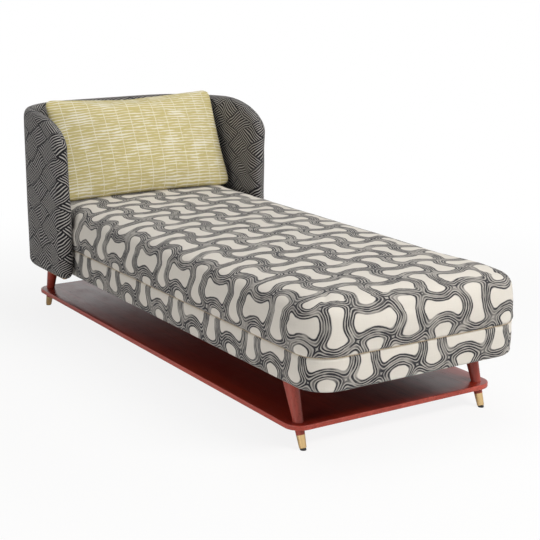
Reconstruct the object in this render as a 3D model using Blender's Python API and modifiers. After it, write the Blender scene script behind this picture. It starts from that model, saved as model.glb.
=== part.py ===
"""Chaise longue: an upholstered seat block in a U-shaped head shell, on splayed turned legs that pass
through a low storage shelf.

Frame: metres, +Z up, head end at +Y, foot end at -Y, origin on the floor at the centre of the plan.
"""
import math

import bmesh
import bpy
from mathutils import Matrix

# Gap kept between pieces that touch, and the play of a shank in its hole
GAP = 0.0003
HOLE_PLAY = 0.0003

# Seat block: a padded base tier below the seam and a mattress tier above it
SEAT_WIDTH = 0.754
SEAT_LENGTH = 1.973
SEAT_BOTTOM = 0.194
BASE_HEIGHT = 0.097
MATTRESS_HEIGHT = 0.146
FOOT_CORNER = 0.103
HEAD_CORNER = 0.228
SHOULDER_RADIUS = 0.050
CROWN = 0.007
SIDE_EASE = 0.004
SEAM_DRAW = 0.006
BASE_DRAW = 0.004
COVER_WALL = 0.004
BASE_PADDING = 0.018
BASE_EDGE = 0.013
HEM_REACH = 0.003
HEM_THICKNESS = 0.003

# Timber frame inside the base tier
RAIL_THICKNESS = 0.020
DECK_THICKNESS = 0.009
DUST_COVER_THICKNESS = 0.0015
CROSS_RAIL_HEIGHT = 0.060
CROSS_RAIL_PLACES = (-0.42, 0.22)
BLOCK_WIDTH = 0.105
BLOCK_HEIGHT = 0.045
BLOCK_PAST_LEG = 0.045
BLOCK_LAP = 0.055

# Head shell: a bent board in a padded cover, bolted to the rails
SHELL_THICKNESS = 0.049
SHELL_FIT = 0.0005
SHELL_TOP = 0.771
SHELL_BOTTOM = 0.189
WING_LENGTH = 0.478
WING_TOP_RUN = 0.255
WING_TOP_DROP = 0.115
WING_BOTTOM_RADIUS = 0.040
SHELL_EDGE = 0.022
SHELL_RIM = 0.036
BOARD_THICKNESS = 0.012
BOARD_COVERED = 0.030
BOARD_CORNER = 0.003
BOLT_RADIUS = 0.004
BOLT_HEAD_RADIUS = 0.008
BOLT_HEAD_HEIGHT = 0.005
BOLT_RISE = 0.050
BOLT_END_COVER = 0.001
WING_BOLT_INSET = 0.070
BACK_BOLT_INSET = 0.029

# Legs: one cone from the seat to the ferrule, leaning along the length, with the shelf clamped in it
FOOT_SIDE_INSET = 0.057
FOOT_INSET = 0.131
HEAD_INSET = 0.136
SPLAY = math.radians(19.4)
LEG_TOP_DIAMETER = 0.0455
LEG_END_DIAMETER = 0.0205
FERRULE_END = 0.0043
FERRULE_TOP = 0.0411
FERRULE_WALL = 0.0012
FERRULE_FLOOR = 0.002
FERRULE_ROUND = 0.0012
GLIDE_DIAMETER = 0.0176
GLIDE_RECESS = 0.0004
STEM_DIAMETER = 0.006
STEM_LENGTH = 0.022
ROD_DIAMETER = 0.008
ROD_IN_TOE = 0.014
ROD_IN_BLOCK = 0.032

# Shelf board between legs and toes
SHELF_SIDE_OVERHANG = 0.039
SHELF_OVERHANG = 0.014
SHELF_BOTTOM = 0.059
SHELF_THICKNESS = 0.015
SHELF_CORNER = 0.050
SHELF_ARRIS = 0.003

# Loose lumbar cushion, leaning on the back
CUSHION_WIDTH = 0.700
CUSHION_HEIGHT = 0.392
CUSHION_THICKNESS = 0.150
CUSHION_WALL = 0.002
CUSHION_LEAN = math.radians(25.0)
CUSHION_SHIFT = 0.012
CUSHION_SIDE_DRAW = 0.035
CUSHION_TOP_DRAW = 0.055
CUSHION_FULLNESS = 0.46
ZIP_LENGTH = 0.420
ZIP_WIDTH = 0.004

# Facets, and the angles past which an edge is left sharp
LATHE_STEPS = 24
HOLE_SIDES = 16
CORNER_STEPS = 8
EDGE_STEPS = 3
SIDE_STEPS = 4
ROUND_STEPS = 5
CROWN_RINGS = (0.3, 0.6, 0.85)
CORNER_KEPT = 0.25
CUSHION_COLUMNS = 16
CUSHION_ROWS = 10
WELD = 0.00001
TURNED_SMOOTH = math.radians(40)
CLOTH_SMOOTH = math.radians(55)

# Places worked out from the sizes above
HALF_WIDTH = SEAT_WIDTH / 2
FOOT_SIDE = HALF_WIDTH - FOOT_SIDE_INSET
FOOT_END = -(SEAT_LENGTH + SHELL_FIT + SHELL_THICKNESS) / 2
HEAD_END = FOOT_END + SEAT_LENGTH
BACK_FACE = HEAD_END + SHELL_FIT + SHELL_THICKNESS
SEAM = SEAT_BOTTOM + BASE_HEIGHT
SEAT_TOP = SEAM + MATTRESS_HEIGHT
SHELF_TOP = SHELF_BOTTOM + SHELF_THICKNESS
RAIL_BOTTOM = SEAT_BOTTOM + HEM_THICKNESS + GAP
DECK_TOP = SEAM - GAP / 2
RAIL_TOP = DECK_TOP - DECK_THICKNESS - GAP
RAIL_OUTER_INSET = BASE_PADDING + GAP
RAIL_INNER_INSET = RAIL_OUTER_INSET + RAIL_THICKNESS
LEG_TOP = RAIL_BOTTOM - GAP
HEM_INSET = BASE_DRAW + SIDE_EASE + BASE_EDGE + HEM_REACH
BOLT_HEIGHT = RAIL_BOTTOM + BOLT_RISE

CORNERS = {
    "foot_left": (-1, -1),
    "foot_right": (1, -1),
    "head_left": (-1, 1),
    "head_right": (1, 1),
}

WOOD = ("lacquered_wood", (0.20, 0.035, 0.025), 0.32, 0.0)
TIMBER = ("frame_timber", (0.55, 0.38, 0.22), 0.7, 0.0)
BRASS = ("satin_brass", (0.66, 0.48, 0.22), 0.30, 1.0)
STEEL = ("zinc_steel", (0.55, 0.55, 0.56), 0.35, 1.0)
GLIDE_BLACK = ("glide_black", (0.012, 0.012, 0.013), 0.55, 0.0)
SEAT_CLOTH = ("seat_cloth", (0.62, 0.57, 0.50), 0.9, 0.0)
HEAD_CLOTH = ("head_cloth", (0.10, 0.10, 0.105), 0.9, 0.0)
CUSHION_CLOTH = ("cushion_cloth", (0.58, 0.49, 0.20), 0.9, 0.0)
FOAM = ("foam", (0.80, 0.74, 0.55), 0.95, 0.0)
DUST_CLOTH = ("dust_cloth", (0.03, 0.03, 0.03), 0.95, 0.0)


def clear_scene():
    for item in list(bpy.data.objects):
        bpy.data.objects.remove(item, do_unlink=True)


def new_collection(name):
    group = bpy.data.collections.new(name)
    bpy.context.scene.collection.children.link(group)
    return group


clear_scene()
PARTS = new_collection("chaise_longue")
CUTTERS = new_collection("cutters")


def material(spec):
    name, colour, roughness, metallic = spec
    found = bpy.data.materials.get(name)
    if found:
        return found
    made = bpy.data.materials.new(name)
    made.use_nodes = True
    shader = made.node_tree.nodes["Principled BSDF"]
    shader.inputs["Base Color"].default_value = (*colour, 1.0)
    shader.inputs["Roughness"].default_value = roughness
    shader.inputs["Metallic"].default_value = metallic
    return made


def place(mesh, name, spec, matrix=None):
    """Make a node from a mesh, in the parts collection."""
    item = bpy.data.objects.new(name, mesh)
    PARTS.objects.link(item)
    mesh.materials.append(material(spec))
    if matrix is not None:
        item.matrix_world = matrix
    return item


def place_cutter(mesh, name, matrix=None):
    item = bpy.data.objects.new(name, mesh)
    CUTTERS.objects.link(item)
    item.hide_render = True
    item.display_type = "WIRE"
    if matrix is not None:
        item.matrix_world = matrix
    return item


def cut(item, *cutters):
    for cutter in cutters:
        step = item.modifiers.new("cut_" + cutter.name, "BOOLEAN")
        step.operation = "DIFFERENCE"
        step.solver = "EXACT"
        step.object = cutter


def finish_mesh(work, name, smooth_angle=None):
    bmesh.ops.recalc_face_normals(work, faces=work.faces)
    if work.calc_volume(signed=True) < 0:
        bmesh.ops.reverse_faces(work, faces=work.faces)
    mesh = bpy.data.meshes.new(name)
    work.to_mesh(mesh)
    work.free()
    if smooth_angle is not None:
        mesh.shade_smooth()
        mesh.set_sharp_from_angle(angle=smooth_angle)
    return mesh


def box_mesh(name, low, high):
    work = bmesh.new()
    bmesh.ops.create_cube(work, size=1.0)
    size = [high[k] - low[k] for k in range(3)]
    middle = [(high[k] + low[k]) / 2 for k in range(3)]
    bmesh.ops.scale(work, vec=size, verts=work.verts)
    bmesh.ops.translate(work, vec=middle, verts=work.verts)
    return finish_mesh(work, name)


def cylinder_mesh(name, radius, low, high, sides=HOLE_SIDES):
    """A cylinder on the local Z axis, from low to high."""
    work = bmesh.new()
    bmesh.ops.create_cone(work, cap_ends=True, segments=sides, radius1=radius, radius2=radius,
                          depth=high - low)
    bmesh.ops.translate(work, vec=(0, 0, (high + low) / 2), verts=work.verts)
    return finish_mesh(work, name, TURNED_SMOOTH)


def lathe_mesh(name, profile, closed=False):
    """Turn a profile of (radius, height) points, which runs down its outer side."""
    mesh = bpy.data.meshes.new(name)
    points = [(radius, 0, height) for radius, height in profile]
    edges = [(k, k + 1) for k in range(len(points) - 1)]
    if closed:
        edges.append((len(points) - 1, 0))
    mesh.from_pydata(points, edges, [])
    guide = bpy.data.objects.new(name + "_profile", mesh)
    CUTTERS.objects.link(guide)
    turn = guide.modifiers.new("turn", "SCREW")
    turn.steps = LATHE_STEPS
    turn.render_steps = LATHE_STEPS
    turn.use_merge_vertices = True
    turn.merge_threshold = WELD
    return baked(guide, TURNED_SMOOTH)


def baked(guide, smooth_angle=None):
    """The evaluated mesh of a guide object, welded; the guide is removed."""
    bpy.context.view_layer.update()
    evaluated = guide.evaluated_get(bpy.context.evaluated_depsgraph_get())
    mesh = bpy.data.meshes.new_from_object(evaluated)
    name = guide.data.name
    bpy.data.objects.remove(guide, do_unlink=True)
    work = bmesh.new()
    work.from_mesh(mesh)
    bmesh.ops.remove_doubles(work, verts=work.verts, dist=WELD)
    return finish_mesh(work, name, smooth_angle)


def board_mesh(name, outline, low, high, arris=0.0):
    """A flat board: a filled outline, extruded from low to high, with its edges eased by arris."""
    curve = bpy.data.curves.new(name, "CURVE")
    curve.dimensions = "2D"
    curve.fill_mode = "BOTH"
    curve.extrude = (high - low) / 2
    spline = curve.splines.new("POLY")
    spline.points.add(len(outline) - 1)
    for point, (x, y) in zip(spline.points, outline):
        point.co = (x, y, 0, 1)
    spline.use_cyclic_u = True
    guide = bpy.data.objects.new(name, curve)
    CUTTERS.objects.link(guide)
    mesh = baked(guide)
    mesh.transform(Matrix.Translation((0, 0, (high + low) / 2)))
    if arris > 0:
        ease_edges(mesh, arris)
    return mesh


def ease_edges(mesh, width):
    """Round the edges between a board's flat faces and its rim."""
    work = bmesh.new()
    work.from_mesh(mesh)
    bmesh.ops.dissolve_limit(work, angle_limit=math.radians(1), verts=work.verts, edges=work.edges)
    rim = [edge for edge in work.edges if abs(edge.verts[0].co.z - edge.verts[1].co.z) < 1e-6]
    bmesh.ops.bevel(work, geom=rim, offset=width, segments=2, profile=0.5, affect="EDGES")
    work.to_mesh(mesh)
    work.free()


def rounded_outline(half_width, low_y, high_y, low_radius, high_radius):
    """A rectangle with round corners, as points in turn from the corner at +X and low Y."""
    corners = (
        (half_width - low_radius, low_y + low_radius, low_radius, -90),
        (half_width - high_radius, high_y - high_radius, high_radius, 0),
        (-half_width + high_radius, high_y - high_radius, high_radius, 90),
        (-half_width + low_radius, low_y + low_radius, low_radius, 180),
    )
    points = []
    for x, y, radius, start in corners:
        for step in range(CORNER_STEPS + 1):
            angle = math.radians(start + 90 * step / CORNER_STEPS)
            points.append((x + radius * math.cos(angle), y + radius * math.sin(angle)))
    return points


def seat_outline(inset):
    """The seat block's plan, moved inwards; a corner keeps at least a share of its radius."""
    foot_radius = max(FOOT_CORNER - inset, FOOT_CORNER * CORNER_KEPT)
    head_radius = max(HEAD_CORNER - inset, HEAD_CORNER * CORNER_KEPT)
    return rounded_outline(HALF_WIDTH - inset, FOOT_END + inset, HEAD_END - inset, foot_radius,
                           head_radius)


def loft(name, profile, closed):
    """Seat outlines joined into one body: profile holds (inset, height) pairs. A closed profile makes a
    ring, an open one a body that is capped by its first and last outline."""
    work = bmesh.new()
    rings = []
    for inset, height in profile:
        rings.append([work.verts.new((x, y, height)) for x, y in seat_outline(inset)])
    pairs = list(zip(rings, rings[1:]))
    if closed:
        pairs.append((rings[-1], rings[0]))
    for lower, upper in pairs:
        for k in range(len(lower)):
            after = (k + 1) % len(lower)
            work.faces.new((lower[k], lower[after], upper[after], upper[k]))
    if not closed:
        work.faces.new(rings[0])
        work.faces.new(rings[-1])
    return finish_mesh(work, name, CLOTH_SMOOTH)


def side_inset(share):
    """How far a padded side lies inside its fullest plan, from the seam (0) to its far edge (1)."""
    return SEAM_DRAW * (1 - share) ** 4 + SIDE_EASE * share ** 3


def mattress_profile(depth):
    """(inset, height) pairs up the mattress side, over the shoulder and across the crown, on a surface
    that lies depth inside the cover's outer face."""
    top = SEAT_TOP - depth
    radius = SHOULDER_RADIUS - depth
    low = SEAM + GAP / 2
    pairs = []
    for step in range(SIDE_STEPS + 1):
        share = step / SIDE_STEPS
        pairs.append((depth + side_inset(share), low + (top - radius - low) * share))
    for step in range(1, ROUND_STEPS + 1):
        angle = math.pi / 2 * step / ROUND_STEPS
        pairs.append((depth + SIDE_EASE + radius * (1 - math.cos(angle)),
                      top - radius * (1 - math.sin(angle))))
    edge = pairs[-1][0]
    for share in CROWN_RINGS:
        pairs.append((edge + (HALF_WIDTH - edge) * share, top + CROWN * (1 - (1 - share) ** 2)))
    return pairs


def make_mattress():
    outer = mattress_profile(0.0)
    inner = mattress_profile(COVER_WALL)
    place(loft("mattress_cover", list(reversed(inner)) + outer, False), "mattress_cover", SEAT_CLOTH)
    core = mattress_profile(COVER_WALL + GAP)
    place(loft("mattress_core", core, False), "mattress_core", FOAM)


def base_profile():
    """The base tier's padded cover in section: seam, swelling side, round lower edge, hem, inner wall."""
    top = SEAM - GAP / 2
    side_low = SEAT_BOTTOM + BASE_EDGE
    pairs = []
    for step in range(SIDE_STEPS + 1):
        share = step / SIDE_STEPS
        pairs.append((BASE_DRAW + side_inset(share), top + (side_low - top) * share))
    for step in range(1, ROUND_STEPS + 1):
        angle = math.pi / 2 * step / ROUND_STEPS
        pairs.append((BASE_DRAW + SIDE_EASE + BASE_EDGE * (1 - math.cos(angle)),
                      side_low - BASE_EDGE * math.sin(angle)))
    pairs.append((HEM_INSET, SEAT_BOTTOM))
    pairs.append((HEM_INSET, SEAT_BOTTOM + HEM_THICKNESS))
    pairs.append((BASE_PADDING, SEAT_BOTTOM + HEM_THICKNESS))
    pairs.append((BASE_PADDING, top))
    return pairs


def leg_radius(along):
    """The leg's radius at a distance along its axis, measured from the floor."""
    reach = LEG_TOP / math.cos(SPLAY)
    share = (along - FERRULE_END) / (reach - FERRULE_END)
    return (LEG_END_DIAMETER + (LEG_TOP_DIAMETER - LEG_END_DIAMETER) * share) / 2


def leg_matrix(side, end):
    """Floor point and lean of a leg: local Z runs up its axis."""
    y = FOOT_END + FOOT_INSET if end < 0 else BACK_FACE - HEAD_INSET
    return Matrix.Translation((side * FOOT_SIDE, y, 0)) @ Matrix.Rotation(end * SPLAY, 4, "X")


def along_axis(height):
    return height / math.cos(SPLAY)


def slab_cutter(name, low, high):
    reach = SEAT_LENGTH
    return place_cutter(box_mesh(name, (-reach, -reach, low), (reach, reach, high)), name)


def make_legs():
    """Legs, toes, ferrules, glides and tie rods of the four corners; returns the rod bores."""
    spare = LEG_TOP_DIAMETER
    above_leg = slab_cutter("above_leg", LEG_TOP, LEG_TOP + 4 * spare)
    below_leg = slab_cutter("below_leg", SHELF_TOP + GAP - 4 * spare, SHELF_TOP + GAP)
    above_toe = slab_cutter("above_toe", SHELF_BOTTOM - GAP, SHELF_BOTTOM + 4 * spare)
    floor = slab_cutter("floor", -4 * spare, 0)
    rod_low = along_axis(SHELF_BOTTOM) - ROD_IN_TOE
    rod_high = along_axis(LEG_TOP) + ROD_IN_BLOCK
    stem_top = FERRULE_END - GLIDE_RECESS + STEM_LENGTH
    bores = {}
    for corner, (side, end) in CORNERS.items():
        matrix = leg_matrix(side, end)
        bore = place_cutter(cylinder_mesh("rod_bore", ROD_DIAMETER / 2 + HOLE_PLAY, rod_low - GAP,
                                          rod_high + GAP), "rod_bore_" + corner, matrix)
        stem_bore = place_cutter(cylinder_mesh("stem_bore", STEM_DIAMETER / 2 + HOLE_PLAY, -spare,
                                               stem_top + GAP), "stem_bore_" + corner, matrix)
        bores[corner] = bore

        high = along_axis(LEG_TOP) + spare
        low = along_axis(SHELF_TOP) - spare / 2
        leg = place(lathe_mesh("leg", [(0, high), (leg_radius(high), high), (leg_radius(low), low),
                                       (0, low)]), "leg_" + corner, WOOD, matrix)
        cut(leg, above_leg, below_leg, bore)

        toe = place(toe_mesh(), "toe_" + corner, WOOD, matrix)
        cut(toe, above_toe, bore, stem_bore)

        place(ferrule_mesh(), "ferrule_" + corner, BRASS, matrix)

        glide = place(glide_mesh(stem_top), "glide_" + corner, GLIDE_BLACK, matrix)
        cut(glide, floor)

        place(cylinder_mesh("tie_rod", ROD_DIAMETER / 2, rod_low, rod_high), "tie_rod_" + corner,
              STEEL, matrix)
    return bores


def toe_mesh():
    """The leg's end below the shelf: a collar that shows and a tenon inside the ferrule."""
    high = along_axis(SHELF_BOTTOM) + LEG_TOP_DIAMETER / 2
    shoulder = FERRULE_TOP + GAP
    tenon_low = FERRULE_END + FERRULE_FLOOR + GAP
    slim = FERRULE_WALL + GAP
    return lathe_mesh("toe", [
        (0, high),
        (leg_radius(high), high),
        (leg_radius(shoulder), shoulder),
        (leg_radius(shoulder) - slim, shoulder),
        (leg_radius(tenon_low) - slim, tenon_low),
        (0, tenon_low),
    ])


def ferrule_mesh():
    """A tapered brass cup with a hole in its floor for the glide's stem."""
    hole = STEM_DIAMETER / 2 + HOLE_PLAY
    floor_top = FERRULE_END + FERRULE_FLOOR
    end_radius = leg_radius(FERRULE_END)
    return lathe_mesh("ferrule", [
        (leg_radius(FERRULE_TOP), FERRULE_TOP),
        (leg_radius(FERRULE_END + FERRULE_ROUND), FERRULE_END + FERRULE_ROUND),
        (end_radius - FERRULE_ROUND, FERRULE_END),
        (hole, FERRULE_END),
        (hole, floor_top),
        (leg_radius(floor_top) - FERRULE_WALL, floor_top),
        (leg_radius(FERRULE_TOP) - FERRULE_WALL, FERRULE_TOP),
    ], closed=True)


def glide_mesh(stem_top):
    """A pad on a threaded stem; the pad is cut level by the floor."""
    pad_top = FERRULE_END - GLIDE_RECESS
    radius = GLIDE_DIAMETER / 2
    low = -GLIDE_DIAMETER
    return lathe_mesh("glide", [
        (0, stem_top),
        (STEM_DIAMETER / 2, stem_top),
        (STEM_DIAMETER / 2, pad_top),
        (radius, pad_top),
        (radius, low),
        (0, low),
    ])


def make_shelf(bores):
    low_y = FOOT_END + FOOT_INSET - SHELF_OVERHANG
    high_y = BACK_FACE - HEAD_INSET + SHELF_OVERHANG
    outline = rounded_outline(FOOT_SIDE + SHELF_SIDE_OVERHANG, low_y, high_y, SHELF_CORNER, SHELF_CORNER)
    shelf = place(board_mesh("shelf", outline, SHELF_BOTTOM, SHELF_TOP, SHELF_ARRIS), "shelf", WOOD)
    cut(shelf, *bores.values())


def corner_arc(end, inset):
    """The facets of a seat corner, moved inwards, as if it lay at +X and +Y; from its side to its end."""
    radius = FOOT_CORNER if end < 0 else HEAD_CORNER
    end_y = -FOOT_END if end < 0 else HEAD_END
    points = []
    for step in range(CORNER_STEPS + 1):
        angle = math.pi / 2 * step / CORNER_STEPS
        points.append((HALF_WIDTH - radius + (radius - inset) * math.cos(angle),
                       end_y - radius + (radius - inset) * math.sin(angle)))
    return points


def in_corner(points, side, end):
    """Points drawn at +X and +Y, mirrored to a corner and kept in the same turning order."""
    mirrored = [(side * x, end * y) for x, y in points]
    return mirrored if side * end > 0 else mirrored[::-1]


def corner_rail_outline(side, end):
    """Plan of a curved rail between a side rail and an end rail."""
    outer = corner_arc(end, RAIL_OUTER_INSET)
    inner = corner_arc(end, RAIL_INNER_INSET)
    return in_corner(outer + inner[::-1], side, end)


def corner_block_outline(side, end):
    """Plan of the block that takes a leg: it fits inside the curved rail and laps the side rail."""
    arc = corner_arc(end, RAIL_INNER_INSET + GAP)
    outer_x, arc_y = arc[0]
    inner_x = outer_x - BLOCK_WIDTH
    leg_y = abs(leg_matrix(side, end).translation.y) - math.tan(SPLAY) * LEG_TOP
    inner_y = min(leg_y - BLOCK_PAST_LEG, arc_y - BLOCK_LAP)
    points = [(inner_x, inner_y), (outer_x, inner_y), arc[0]]
    for (wide, low), (narrow, high) in zip(arc, arc[1:]):
        if narrow < inner_x:
            points.append((inner_x, low + (high - low) * (wide - inner_x) / (wide - narrow)))
            break
        points.append((narrow, high))
    else:
        points.append((inner_x, arc[-1][1]))
    return in_corner(points, side, end)


def make_frame(bores):
    """Straight and curved rails, cross rails, corner blocks and deck; returns the bolt cutters."""
    outer = HALF_WIDTH - RAIL_OUTER_INSET
    inner = HALF_WIDTH - RAIL_INNER_INSET
    side_low = FOOT_END + FOOT_CORNER + GAP
    side_high = HEAD_END - HEAD_CORNER - GAP
    foot_reach = HALF_WIDTH - FOOT_CORNER - GAP
    head_reach = HALF_WIDTH - HEAD_CORNER - GAP
    bolts = make_bolts(inner, side_high, head_reach)
    for name, side in (("left", -1), ("right", 1)):
        low_x, high_x = sorted((side * inner, side * outer))
        rail = place(box_mesh("side_rail", (low_x, side_low, RAIL_BOTTOM), (high_x, side_high, RAIL_TOP)),
                     "side_rail_" + name, TIMBER)
        cut(rail, *[bolt for key, bolt in bolts.items() if name in key])
    place(box_mesh("foot_rail", (-foot_reach, FOOT_END + RAIL_OUTER_INSET, RAIL_BOTTOM),
                   (foot_reach, FOOT_END + RAIL_INNER_INSET, RAIL_TOP)), "foot_rail", TIMBER)
    head_rail = place(box_mesh("head_rail", (-head_reach, HEAD_END - RAIL_INNER_INSET, RAIL_BOTTOM),
                               (head_reach, HEAD_END - RAIL_OUTER_INSET, RAIL_TOP)), "head_rail", TIMBER)
    cut(head_rail, *[bolt for key, bolt in bolts.items() if "back" in key])
    reach = inner - GAP
    for name, y in zip(("foot", "head"), CROSS_RAIL_PLACES):
        low = (-reach, y - RAIL_THICKNESS / 2, RAIL_TOP - CROSS_RAIL_HEIGHT)
        high = (reach, y + RAIL_THICKNESS / 2, RAIL_TOP)
        place(box_mesh("cross_rail", low, high), "cross_rail_" + name, TIMBER)
    for corner, (side, end) in CORNERS.items():
        place(board_mesh("corner_rail", corner_rail_outline(side, end), RAIL_BOTTOM, RAIL_TOP),
              "corner_rail_" + corner, TIMBER)
        block = place(board_mesh("corner_block", corner_block_outline(side, end), RAIL_BOTTOM,
                                 RAIL_BOTTOM + BLOCK_HEIGHT), "corner_block_" + corner, TIMBER)
        cut(block, bores[corner])
    place(board_mesh("deck", seat_outline(RAIL_OUTER_INSET), DECK_TOP - DECK_THICKNESS, DECK_TOP),
          "deck", TIMBER)
    return bolts


def make_leg_openings():
    """Cutters for the cloth under the seat, where the legs come through."""
    openings = []
    for corner, (side, end) in CORNERS.items():
        high = along_axis(LEG_TOP) + LEG_TOP_DIAMETER
        low = along_axis(SHELF_TOP)
        mesh = lathe_mesh("leg_opening", [(0, high), (leg_radius(high) + GAP, high),
                                          (leg_radius(low) + GAP, low), (0, low)])
        openings.append(place_cutter(mesh, "leg_opening_" + corner, leg_matrix(side, end)))
    return openings


def make_base_cloth(bolts):
    openings = make_leg_openings()
    cover = place(loft("base_cover", base_profile(), True), "base_cover", SEAT_CLOTH)
    cut(cover, *openings, *bolts.values())
    high = RAIL_BOTTOM - GAP
    dust = place(board_mesh("dust_cover", seat_outline(HEM_INSET + GAP), high - DUST_COVER_THICKNESS,
                            high), "dust_cover", DUST_CLOTH)
    cut(dust, *openings)


def shell_path():
    """Lengths along the inside of the head shell: wing, corner arc and half of the back."""
    radius = HEAD_CORNER + SHELL_FIT
    half = HALF_WIDTH + SHELL_FIT
    wing = WING_LENGTH - radius
    arc = radius * math.pi / 2
    return half, radius, wing, arc, half - radius


def shell_point(along, out):
    """Plan point at a distance along the shell's inner face, from the right wing's tip, and a distance
    out from that face."""
    half, radius, wing, arc, half_back = shell_path()
    total = 2 * (wing + arc + half_back)
    side = 1
    if along > total / 2:
        along = total - along
        side = -1
    back = HEAD_END + SHELL_FIT
    if along <= wing:
        return side * (half + out), back - WING_LENGTH + along
    if along <= wing + arc:
        angle = (along - wing) / radius
        return (side * (half - radius + (radius + out) * math.cos(angle)),
                back - radius + (radius + out) * math.sin(angle))
    return side * (half - radius - (along - wing - arc)), back + out


def shell_chain(tip, level, run, drop):
    """One long edge of the unrolled shell as (along, height) points: a quarter ellipse at each wing tip,
    which runs along and drops (or, below zero, rises), and the points where the shell bends."""
    half, bend, wing, arc, half_back = shell_path()
    total = 2 * (wing + arc + half_back)
    stations = []
    for step in range(CORNER_STEPS + 1):
        stations.append(tip + run * (1 - math.cos(math.pi / 2 * step / CORNER_STEPS)))
        stations.append(wing + arc * step / CORNER_STEPS)
    front = []
    for along in sorted(stations):
        short = max(tip + run - along, 0) / run
        front.append((along, level - drop * (1 - math.sqrt(max(1 - short ** 2, 0)))))
    return front + [(total - along, height) for along, height in reversed(front)]


def shell_mesh(name, inner, outer, tip, top, bottom, top_corner, bottom_radius, edge, rim):
    """A body that follows the U of the head shell, from inner to outer across its thickness, with its
    edges rounded by edge across the thickness, and by rim in height along the top."""
    layers = []
    steps = EDGE_STEPS if edge > 0 else 0
    for step in range(steps + 1):
        angle = math.pi / 2 * step / max(steps, 1)
        layers.append((1 - math.cos(angle), edge * (1 - math.sin(angle))))
    work = bmesh.new()
    rings = []
    sides = [(inner, 1, reversed(layers)), (outer, -1, layers)]
    for face, sign, order in sides:
        for share, depth in order:
            inset = edge * share
            sunk = rim * share
            upper = shell_chain(tip + inset, top - sunk, top_corner[0] - inset, top_corner[1] - sunk)
            lower = shell_chain(tip + inset, bottom + inset, bottom_radius - inset, inset - bottom_radius)
            ring = []
            for along, height in upper + lower[::-1]:
                x, y = shell_point(along, face + sign * depth)
                ring.append(work.verts.new((x, y, height)))
            rings.append(ring)
    count = len(rings[0])
    for low, high in zip(rings, rings[1:]):
        for k in range(count):
            after = (k + 1) % count
            work.faces.new((low[k], low[after], high[after], high[k]))
    for ring in (rings[0], rings[-1]):
        for k in range(count // 2 - 1):
            work.faces.new((ring[k], ring[k + 1], ring[count - 2 - k], ring[count - 1 - k]))
    return finish_mesh(work, name, CLOTH_SMOOTH)


def make_head_shell(bolts):
    middle = SHELL_THICKNESS / 2
    low = middle - BOARD_THICKNESS / 2
    high = middle + BOARD_THICKNESS / 2
    board_top = SHELL_TOP - BOARD_COVERED
    board_low = SHELL_BOTTOM + 2 * GAP
    corner = (WING_TOP_RUN - BOARD_COVERED, WING_TOP_DROP - BOARD_COVERED)
    slot_corner = (corner[0] + GAP, corner[1] + GAP)
    board = place(shell_mesh("head_board", low, high, BOARD_COVERED, board_top, board_low, corner,
                             BOARD_CORNER, 0, 0), "head_board", TIMBER)
    slot = place_cutter(shell_mesh("board_slot", low - GAP, high + GAP, BOARD_COVERED - GAP,
                                   board_top + GAP, SHELL_BOTTOM - SHELL_EDGE, slot_corner,
                                   BOARD_CORNER, 0, 0), "board_slot")
    cover = place(shell_mesh("head_cover", 0, SHELL_THICKNESS, 0, SHELL_TOP, SHELL_BOTTOM,
                             (WING_TOP_RUN, WING_TOP_DROP), WING_BOTTOM_RADIUS, SHELL_EDGE,
                             SHELL_RIM), "head_cover", HEAD_CLOTH)
    cut(cover, slot, *bolts.values())
    cut(board, *bolts.values())


def make_bolts(inner, side_high, head_reach):
    """Six bolts from inside the rails into the head board; returns a clearance cutter for each."""
    reach = RAIL_THICKNESS + RAIL_OUTER_INSET + SHELL_FIT + (SHELL_THICKNESS + BOARD_THICKNESS) / 2
    shank = reach - BOLT_END_COVER
    profile = [
        (0, shank),
        (BOLT_RADIUS, shank),
        (BOLT_RADIUS, -GAP),
        (BOLT_HEAD_RADIUS, -GAP),
        (BOLT_HEAD_RADIUS, -GAP - BOLT_HEAD_HEIGHT),
        (0, -GAP - BOLT_HEAD_HEIGHT),
    ]
    wing_front = HEAD_END + SHELL_FIT - WING_LENGTH
    places = {}
    for name, side in (("left", -1), ("right", 1)):
        for row, y in (("front", wing_front + WING_BOLT_INSET), ("rear", side_high - WING_BOLT_INSET)):
            turn = Matrix.Rotation(side * math.pi / 2, 4, "Y")
            places[name + "_" + row] = Matrix.Translation((side * inner, y, BOLT_HEIGHT)) @ turn
    for name, side in (("back_left", -1), ("back_right", 1)):
        turn = Matrix.Rotation(-math.pi / 2, 4, "X")
        start = (side * (head_reach - BACK_BOLT_INSET), HEAD_END - RAIL_INNER_INSET, BOLT_HEIGHT)
        places[name] = Matrix.Translation(start) @ turn
    cutters = {}
    for name, matrix in places.items():
        place(lathe_mesh("head_bolt", profile), "head_bolt_" + name, STEEL, matrix)
        hole = cylinder_mesh("bolt_hole", BOLT_RADIUS + HOLE_PLAY, -BOLT_HEAD_HEIGHT, shank + GAP)
        cutters[name] = place_cutter(hole, "bolt_hole_" + name, matrix)
    return cutters


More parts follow.
